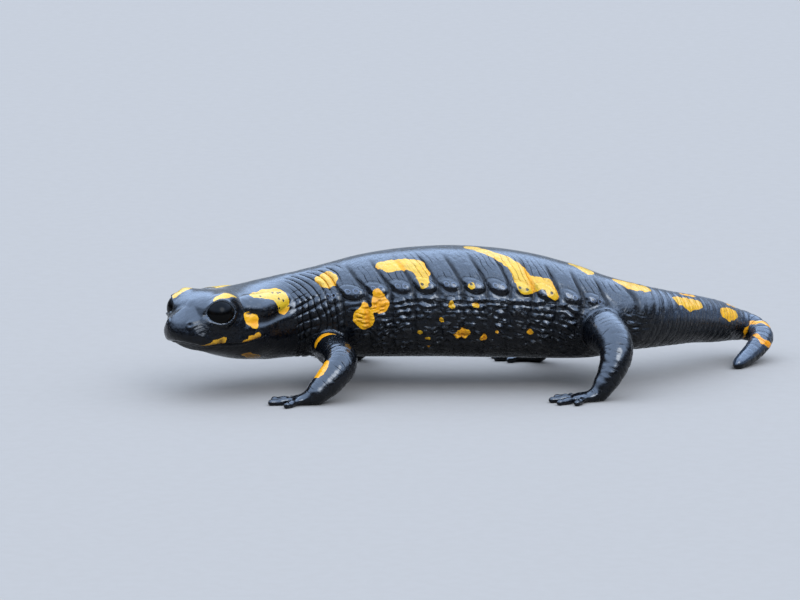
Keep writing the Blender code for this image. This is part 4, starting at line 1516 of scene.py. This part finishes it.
class Nodes:
    """A node tree with short calls for the nodes that the finishes use."""

    def __init__(self, tree: bpy.types.NodeTree) -> None:
        """Keeps the tree."""
        self.tree = tree

    def feed(self, node: bpy.types.Node, inputs: dict[Any, Any]) -> None:
        """Links a wire, or sets a value, at each input's name or number."""
        for key, value in inputs.items():
            if isinstance(value, Wire):
                self.tree.links.new(value.socket, node.inputs[key])
            else:
                node.inputs[key].default_value = value

    def add(self, kind: str, inputs: dict[Any, Any] | None = None, **settings: Any) -> bpy.types.Node:
        """Adds a node.

        Args:
            kind: the node's type, after "ShaderNode".
            inputs: a wire to link or a value to set, under each input's name or number.
            settings: the node's own settings.

        Returns:
            The node.
        """
        node = self.tree.nodes.new("ShaderNode" + kind)
        for name, value in settings.items():
            setattr(node, name, value)
        self.feed(node, inputs or {})
        return node

    def wire(
        self, output: str | int, kind: str, inputs: dict[Any, Any] | None = None, **settings: Any
    ) -> Wire:
        """One output of a new node."""
        return Wire(self, self.add(kind, inputs, **settings).outputs[output])

    def math(self, operation: str, *values: Any) -> Wire:
        """One Math node's result."""
        return self.wire(0, "Math", dict(enumerate(values)), operation=operation)

    def mix(self, share: Any, one: Any, two: Any) -> Wire:
        """The colour between one and two at a share."""
        colours = [(*colour, 1.0) if isinstance(colour, tuple) else colour for colour in (one, two)]
        return self.wire(2, "Mix", {0: share, 6: colours[0], 7: colours[1]}, data_type="RGBA")

    def value(self, name: str) -> Wire:
        """A number that the skin's points hold."""
        return self.wire("Fac", "Attribute", attribute_name=name)

    def parts(self, place: Wire) -> list[Wire]:
        """A place's three numbers."""
        return [Wire(self, socket) for socket in self.add("SeparateXYZ", {0: place}).outputs]

    def places(self, name: str) -> list[Wire]:
        """The three numbers of a triple that the skin's points hold."""
        return self.parts(self.wire("Vector", "Attribute", attribute_name=name))

    def joined(self, *numbers: Any) -> Wire:
        """Three numbers as one place."""
        return self.wire(0, "CombineXYZ", dict(enumerate(numbers)))

    def millimetres(self) -> Wire:
        """The object's own coordinates in millimetres."""
        place = self.wire("Object", "TexCoord")
        return self.wire(0, "VectorMath", {0: place, "Scale": 1 / MM}, operation="SCALE")

    def noise(self, place: Wire, size: float, detail: float = 2.0) -> Wire:
        """Noise round 0.5, with features of a size in the place's own unit."""
        return self.wire("Fac", "TexNoise", {"Vector": place, "Scale": 1 / size, "Detail": detail})

    def cells(self, place: Wire, size: float) -> Wire:
        """The distance from the middle of the nearest cell, for cells of a size in the place's own unit."""
        return self.wire("Distance", "TexVoronoi", {"Vector": place, "Scale": 1 / size})

    def bump(self, height: Wire, strength: float) -> Wire:
        """The normal after a relief whose height is in millimetres."""
        return self.wire(0, "Bump", {"Height": height, "Distance": MM, "Strength": strength})

    def grain(self, place: Wire, size: float) -> tuple[Wire, Wire]:
        """The shared grain's mask and height."""
        node = self.add("Group", {"Place": place, "Size": size}, node_tree=grain_group())
        return Wire(self, node.outputs["Mask"]), Wire(self, node.outputs["Height"])


def grain_group() -> bpy.types.NodeTree:
    """The fine grain that every finish shares: a mask round 0.5 and a height in millimetres.

    Formula: noise of the given size gives the mask, and the same noise at a third of the size, with the
    mask's own strength, gives the height.
    """
    found = bpy.data.node_groups.get("grain")
    if found:
        return found
    group = bpy.data.node_groups.new("grain", "ShaderNodeTree")
    for name, way, kind in (
        ("Place", "INPUT", "Vector"), ("Size", "INPUT", "Float"),
        ("Mask", "OUTPUT", "Float"), ("Height", "OUTPUT", "Float"),
    ):  # fmt: skip
        group.interface.new_socket(name, in_out=way, socket_type=f"NodeSocket{kind}")
    nodes = Nodes(group)
    place, size = (Wire(nodes, socket) for socket in list(group.nodes.new("NodeGroupInput").outputs)[:2])
    scale = 1.0 / size
    coarse = nodes.wire("Fac", "TexNoise", {"Vector": place, "Scale": scale, "Detail": 2.0})
    fine = nodes.wire("Fac", "TexNoise", {"Vector": place, "Scale": scale * 3.0, "Detail": 1.0})
    nodes.feed(group.nodes.new("NodeGroupOutput"), {"Mask": coarse, "Height": fine * coarse})
    return group


def fresh(name: str, settings: dict[str, Any]) -> tuple[bpy.types.Material, Nodes, bpy.types.Node]:
    """A new material with its Principled shader's constant settings in place.

    Args:
        name: the material's name.
        settings: a value for each of the shader's inputs that isn't left as it is.

    Returns:
        The material, its nodes and the shader.
    """
    material = bpy.data.materials.new(name)
    material.use_nodes = True
    nodes, shader = Nodes(material.node_tree), material.node_tree.nodes["Principled BSDF"]
    nodes.feed(shader, settings)
    return material, nodes, shader


@dataclass(frozen=True)
class WetSkin:
    """Wet black skin with its yellow and orange patches, pores and fine creases."""

    black: Triple = (0.0008, 0.001, 0.0015)
    slate: Triple = (0.0022, 0.003, 0.0048)
    # painted sheen: a lighter slate for the tail's upward-facing top
    tail_painted_sheen: Triple = (0.02, 0.027, 0.04)
    # painted highlight: the pale wet line along the lids
    lid_painted_highlight: Triple = (0.05, 0.058, 0.07)
    # painted highlight: the pale ring round each pore
    pore_painted_highlight: Triple = (0.05, 0.062, 0.09)
    pore_dark: Triple = (0.01, 0.007, 0.004)
    seam_dark: Triple = (0.002, 0.002, 0.002)
    tones: tuple[tuple[float, Triple], ...] = (
        (0.0, (0.4, 0.285, 0.022)),
        (0.1, (0.42, 0.265, 0.012)),
        (0.3, (0.6, 0.29, 0.006)),
        (0.55, (0.55, 0.18, 0.004)),
        (0.8, (0.2, 0.105, 0.014)),
        (1.0, (0.09, 0.052, 0.012)),
    )
    roughness: tuple[float, float] = (0.13, 0.27)
    gland_halves: tuple[float, float] = (2.15, 1.6)

    def relief(self, nodes: Nodes, place: Wire, lie: list[Wire], grain: Wire) -> Wire:
        """The height of the finest skin.

        Formula: cells for the head's cobbles, noise drawn out upright for short creases on the trunk, soft
        knobs in cells behind the head, and the grain.

        Args:
            nodes: the skin's tree.
            place: the point in millimetres.
            lie: the point's measures on the body.
            grain: the shared grain's height.

        Returns:
            The height in millimetres.
        """
        along, side, _ = lie
        on_head = along.fade(36.0, 30.0)
        cobbles = nodes.cells(place, 0.95) * on_head * -0.08
        cobbles = cobbles + nodes.cells(place, 0.55) * on_head.fade(0.0, 1.0, -0.1, -0.035)
        streak = nodes.noise(nodes.joined(along * 2.2, side, 0.0), 1.9)
        streak = streak * (along.fade(34.0, 42.0) * side.fade(2.0, 7.0)) * 0.34
        knobs = nodes.cells(place, 1.7).fade(0.75, 0.15, 0.0, 0.16) * along.fade(31.0, 36.0)
        return cobbles + streak + (grain * 0.06 + knobs)

    def creases(self, nodes: Nodes, lie: list[Wire]) -> tuple[Wire, Wire]:
        """The narrow creases between the folds, and the beads of the flank.

        Formula: (1 - |sin(pi phase)|) to the fifth power for the creases both ways, a ring round each
        gland, and flattened cells, longer along the body, for the beads.

        Args:
            nodes: the skin's tree.
            lie: the point's measures on the body.

        Returns:
            The creases' mask and the beads' mask.
        """
        across, level, strength = nodes.places("fold")
        lines = [(1.0 - abs((phase * math.pi).math("SINE"))) ** 5.0 for phase in (across, level)]
        on_side = lie[1].fade(4.0, 8.0) * lie[0].fade(40.0, 34.0)
        line = lines[0].math("MAXIMUM", lines[1] * on_side) * strength.math("MAXIMUM", 0.0)
        *ways, which = nodes.places("gland")
        squares = [(way / half) ** 2.0 for way, half in zip(ways, self.gland_halves)]
        reach = (squares[0] + squares[1]) ** 0.5
        on_flank = which.fade(0.4, 0.9)
        ring = reach.fade(1.0, 1.14) * reach.fade(1.3, 1.16) * on_flank * 0.3
        off_gland = (reach.fade(1.1, 0.9) * on_flank).fade(1.0, 0.0)
        line = (line * off_gland).math("MAXIMUM", ring)
        bent = nodes.noise(nodes.joined(lie[0], lie[1], 0.0), 4.0, 1.0) * 3.0
        spot = nodes.joined(lie[0] / 1.9, lie[1] / 0.9 + bent, 0.0)
        bead = nodes.cells(spot, 1.0).fade(0.6, 0.1) * strength.fade(0.0, -0.8)
        return line, bead

    def pores(self, nodes: Nodes) -> tuple[Wire, Wire]:
        """The pores of the glands.

        Formula: two round pores on each gland of the flank, at places that sway with the gland's number,
        and one pore in each cell over the long gland behind the eye. The rims are rings a little wider than
        the pores.

        Args:
            nodes: the skin's tree.

        Returns:
            The pores' mask and their rims'.
        """
        along, across, which = nodes.places("gland")
        sway = (which * 17.0).math("SINE") * 0.25
        first, second = (
            ((along - middle) ** 2.0 + (across - sway * turn) ** 2.0) ** 0.5
            for middle, turn in ((0.75, 1.0), (-0.65, -1.0))
        )
        nearest = first.math("MINIMUM", second)
        on_flank = which.fade(0.4, 0.9)
        cell = nodes.cells(nodes.joined(along * 0.72, across, 0.0), 1.25)
        on_long = which.fade(-0.4, -0.9) * abs(across).fade(2.9, 2.5) * abs(along).fade(8.4, 7.6)
        pore = (on_flank * nearest.fade(0.36, 0.22)).math("MAXIMUM", on_long * cell.fade(0.27, 0.18))
        return pore, nearest.fade(0.24, 0.42) * nearest.fade(0.68, 0.5) * on_flank

    def patches(self, nodes: Nodes, place: Wire, mark: Wire, height: Wire, line: Wire) -> Wire:
        """The patches' colour: each one's tone, mottled, warmer towards its border, with painted shade:
        deeper orange in hollows, brown in creases.

        Args:
            nodes: the skin's tree.
            place: the point in millimetres.
            mark: the distance outside the nearest patch.
            height: the relief's height.
            line: the creases' mask.

        Returns:
            The colour.
        """
        tone = nodes.add("ValToRGB", {0: nodes.value("tone") * 0.5})
        ramp = tone.color_ramp.elements
        while len(ramp) < len(self.tones):
            ramp.new(0.5)
        for element, (where, colour) in zip(ramp, self.tones):
            element.position = where
            element.color = (*colour, 1.0)
        _, _, warm, orange, brown, _ = (colour for _, colour in self.tones)
        # painted shade: the yellow turns deeper orange where the relief sinks
        patch = nodes.mix(height.fade(0.12, -0.3) * 0.62, Wire(nodes, tone.outputs[0]), orange)
        patch = nodes.mix(nodes.noise(place, 2.4, 3.0).fade(0.42, 0.68, 0.0, 0.35), patch, warm)
        patch = nodes.mix(mark.fade(-0.6, 0.0, 0.0, 0.4), patch, warm)
        # painted shade: brown in the creases and round the glands
        return nodes.mix(line * 0.4, patch, brown)

    def ground(self, nodes: Nodes, along: Wire, turned: Wire, grain: Wire, rim: Wire, line: Wire) -> Wire:
        """The black's colour: slate by the grain; painted sheen on the tail's top, painted highlights at pore
        and lid rims, painted shade in creases.

        Args:
            nodes: the skin's tree.
            along: the distance from the snout.
            turned: how far the surface faces up, from -1 to 1.
            grain: the shared grain's mask.
            rim: the pores' rims.
            line: the creases' mask.

        Returns:
            The colour.
        """
        dark = nodes.mix(grain.fade(0.35, 0.7), self.black, self.slate)
        # painted sheen: the tail's upward-facing top is lightened to slate, in place of the sky's reflection
        dark = nodes.mix(along.fade(104.0, 116.0) * turned.fade(-0.12, 0.22), dark, self.tail_painted_sheen)
        # painted highlight: a pale bluish ring round each pore
        dark = nodes.mix(rim * 0.85, dark, self.pore_painted_highlight)
        lid = nodes.value("lid")
        # painted highlight: a pale line just outside the lids' opening
        dark = nodes.mix(lid.fade(0.02, 0.1) * lid.fade(0.3, 0.18, 0.0, 0.6), dark, self.lid_painted_highlight)
        # painted shade: the creases and the ring round each gland go fully black
        return nodes.mix(line, dark, self.black)

    def film(self, lie: list[Wire], turned: Wire, line: Wire, bead: Wire, yellow: Wire) -> Wire:
        """How much water stands on the skin: less in hollows, on patches and beside the snout.

        Args:
            lie: the point's measures on the body.
            turned: how far the surface faces up, from -1 to 1.
            line: the creases' mask.
            bead: the beads' mask.
            yellow: 1 on a patch and 0 on the black.

        Returns:
            The share of the coat.
        """
        film = turned.fade(0.02, 0.38, 0.06, 1.0) * lie[2].fade(-0.4, 0.0, 0.15, 1.0)
        film = (film * 0.9).math("MAXIMUM", bead * 0.4)
        film = film * line.fade(0.5, 0.1) * yellow.fade(0.0, 1.0, 1.0, 0.35)
        snout_side = lie[0].fade(14.0, 10.0) * turned.fade(0.66, 0.44)
        return film * snout_side.fade(0.0, 1.0, 1.0, 0.2)

    def build(self) -> bpy.types.Material:
        """The material."""
        settings = {"IOR": 1.3, "Coat Roughness": 0.14, "Coat IOR": 1.55}
        material, nodes, shader = fresh("wet_skin", settings)
        place, lie, seam = nodes.millimetres(), nodes.places("lie"), nodes.value("seam")
        mask, grain = nodes.grain(place, 0.5)
        pore, rim = self.pores(nodes)
        line, bead = self.creases(nodes, lie)
        mark = nodes.value("mark") + (nodes.noise(place, 1.5, 3.0) - 0.5) * 1.1
        yellow = mark.fade(0.07, -0.07)
        turned = nodes.parts(nodes.wire("Normal", "TexCoord"))[2]
        dark = self.ground(nodes, lie[0], turned, mask, rim, line)
        colour = nodes.mix(yellow, dark, self.patches(nodes, place, mark, lie[2], line))
        colour = nodes.mix(pore * 0.94, colour, self.pore_dark)
        rough = nodes.noise(place, 0.9, 3.0).fade(0.3, 0.7, *self.roughness) + lie[2].fade(0.05, -0.3) * 0.3
        relief = self.relief(nodes, place, lie, grain) + pore * -0.22 + rim * 0.05 - line * 0.3 + bead * 0.42
        finish = {
            "Base Color": nodes.mix(seam.fade(0.16, 0.05), colour, self.seam_dark),
            "Roughness": rough,
            "Coat Weight": self.film(lie, turned, line, bead, yellow),
            "Normal": nodes.bump(relief - seam.fade(0.2, 0.0, 0.0, 0.3), 0.9),
        }
        nodes.feed(shader, finish)
        return material


@dataclass(frozen=True)
class GlossEye:
    """A wet, almost black eye: dark brown where the light goes in, with a gloss that varies a little."""

    black: Triple = (0.0008, 0.0008, 0.0008)
    brown: Triple = (0.0022, 0.0015, 0.001)
    roughness: tuple[float, float] = (0.17, 0.22)

    def build(self) -> bpy.types.Material:
        """The material."""
        material, nodes, shader = fresh("eye", {"IOR": 1.18})
        mask, _ = nodes.grain(nodes.millimetres(), 0.9)
        colour = nodes.mix(mask.fade(0.4, 0.75), self.black, self.brown)
        nodes.feed(shader, {"Base Color": colour, "Roughness": mask.fade(0.3, 0.8, *self.roughness)})
        return material


@dataclass(frozen=True)
class PaleFloor:
    """A plain pale board with the faintest grain."""

    light: Triple = (0.212, 0.19, 0.17)
    dark: Triple = (0.209, 0.187, 0.167)
    roughness: tuple[float, float] = (0.82, 0.86)

    def build(self) -> bpy.types.Material:
        """The material."""
        material, nodes, shader = fresh("floor", {"Specular IOR Level": 0.2})
        mask, _ = nodes.grain(nodes.millimetres(), 3.0)
        colour = nodes.mix(mask.fade(0.3, 0.7), self.light, self.dark)
        nodes.feed(shader, {"Base Color": colour, "Roughness": mask.fade(0.2, 0.8, *self.roughness)})
        return material


# --- studio -------------------------------------------------------------------------------------------


@dataclass(frozen=True)
class Studio:
    """The pale floor, the soft sky over it and the camera."""

    distance: float = 1300.0
    sensor: float = 36.0
    elevation: float = 10.0
    field_width: float = 168.8
    aim: Triple = (-14.35, 0.0, -1.2)
    aim_up: float = 18.36
    floor_sides: int = 96
    floor_radii: tuple[float, ...] = (40.0, 300.0, 1500.0, 6000.0)
    sky_way: Triple = (0.0, -0.04, 1.0)
    back_way: Triple = (0.0, 0.92, 0.39)
    glow_way: Triple = (0.36, -0.68, 0.64)
    sky_edge: tuple[float, float] = (0.24, 0.6)
    back_edge: tuple[float, float] = (0.5, 0.9)
    back_share: float = 0.08
    glow_edge: tuple[float, float] = (0.94, 0.992)
    dim: Triple = (0.06, 0.063, 0.07)
    bright: Triple = (2.9, 3.5, 4.4)
    mirrored: Triple = (1.95, 2.7, 4.1)
    glow: Triple = (8.0, 9.0, 10.5)

    def camera(self) -> bpy.types.Object:
        """A long lens at the side, a little above the animal."""
        data = bpy.data.cameras.new("camera")
        data.sensor_width = self.sensor
        data.lens = self.sensor / self.field_width * self.distance
        lift = math.radians(self.elevation)
        up = Vector((0.0, math.sin(lift), math.cos(lift)))
        back = Vector((0.0, -math.cos(lift), math.sin(lift)))
        target = Vector(self.aim) + up * self.aim_up - Vector(ORIGIN)
        made = bpy.data.objects.new("camera", data)
        made.location = (target + back * self.distance) * MM
        made.rotation_euler = (-back).to_track_quat("-Z", "Y").to_euler()
        bpy.context.scene.collection.objects.link(made)
        bpy.context.scene.camera = made
        return made

    def floor(self) -> bpy.types.Object:
        """A wide pale disc."""
        turn = turns(self.floor_sides)
        ring = np.stack([np.cos(turn), np.sin(turn), np.zeros(self.floor_sides)], axis=-1)
        rings = np.array(self.floor_radii)[:, None, None] * ring[None]
        flat = np.concatenate([rings.reshape(-1, 3), np.zeros((1, 3))])
        quads = grid_faces(len(rings), self.floor_sides)[:, ::-1]
        middle = fan(len(flat) - 1, np.arange(self.floor_sides), False)
        made = new_mesh("floor", flat, quads, middle, {})
        made.data.materials.append(PaleFloor().build())
        return made

    def toward(self, nodes: Nodes, direction: Triple) -> Wire:
        """How nearly each way from the animal points in a direction: 1 straight at it, 0 square to it."""
        way = nodes.wire("Generated", "TexCoord")
        return nodes.wire("Value", "VectorMath", {0: way, 1: direction}, operation="DOT_PRODUCT")

    def sky(self) -> None:
        """A soft bright cap overhead, a faint band low behind, and a small glow high on the near side.

        Formula: the dim colour fades to the bright one with the height of the way, and to the glow close
        round its own direction. Mirrored light has a bright colour of its own, a little bluer.
        """
        world = bpy.data.worlds.new("studio")
        bpy.context.scene.world = world
        world.use_nodes = True
        nodes = Nodes(world.node_tree)
        bright = nodes.mix(nodes.wire("Is Glossy Ray", "LightPath"), self.bright, self.mirrored)
        colour = nodes.mix(self.toward(nodes, self.sky_way).fade(*self.sky_edge), self.dim, bright)
        behind = self.toward(nodes, self.back_way).fade(*self.back_edge, 0.0, self.back_share)
        colour = nodes.mix(behind, colour, self.bright)
        near = self.toward(nodes, tuple(unit(np.array(self.glow_way))))
        colour = nodes.mix(near.fade(*self.glow_edge), colour, self.glow)
        nodes.feed(world.node_tree.nodes["Background"], {"Color": colour})

    def build(self) -> None:
        """Sets the stage."""
        self.camera()
        self.floor()
        self.sky()
        bpy.context.scene.view_settings.view_transform = "Standard"


FLESH = (
    "head", "lower_jaw", "parotoid_left", "parotoid_right", "neck",
    "trunk_front", "trunk_middle", "trunk_rear", "tail_base", "tail_middle", "tail_bend", "tail_tip",
    "left_upper_arm", "left_forearm", "left_hand", "right_upper_arm", "right_forearm", "right_hand",
    "left_thigh", "left_shin", "left_foot", "right_thigh", "right_shin", "right_foot",
)  # fmt: skip


def main() -> None:
    """Builds the salamander."""
    logging.basicConfig(level=logging.INFO, format="%(message)s")
    model = Skin()
    skin = model.build()
    log.info("skin: %d points, %d faces", len(skin.data.vertices), len(skin.data.polygons))
    skin.data.materials.append(WetSkin().build())
    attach(skin, BODY)
    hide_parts(*FLESH)
    gloss = GlossEye().build()
    for side, node in ((1.0, "eye_left"), (-1.0, "eye_right")):
        eye = Eye(side, model.head, model.spine).build()
        eye.data.materials.append(gloss)
        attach(eye, BODY)
        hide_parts(node)
        log.info("%s: %d faces", eye.name, len(eye.data.polygons))
    Studio().build()


if __name__ == "__main__":
    main()
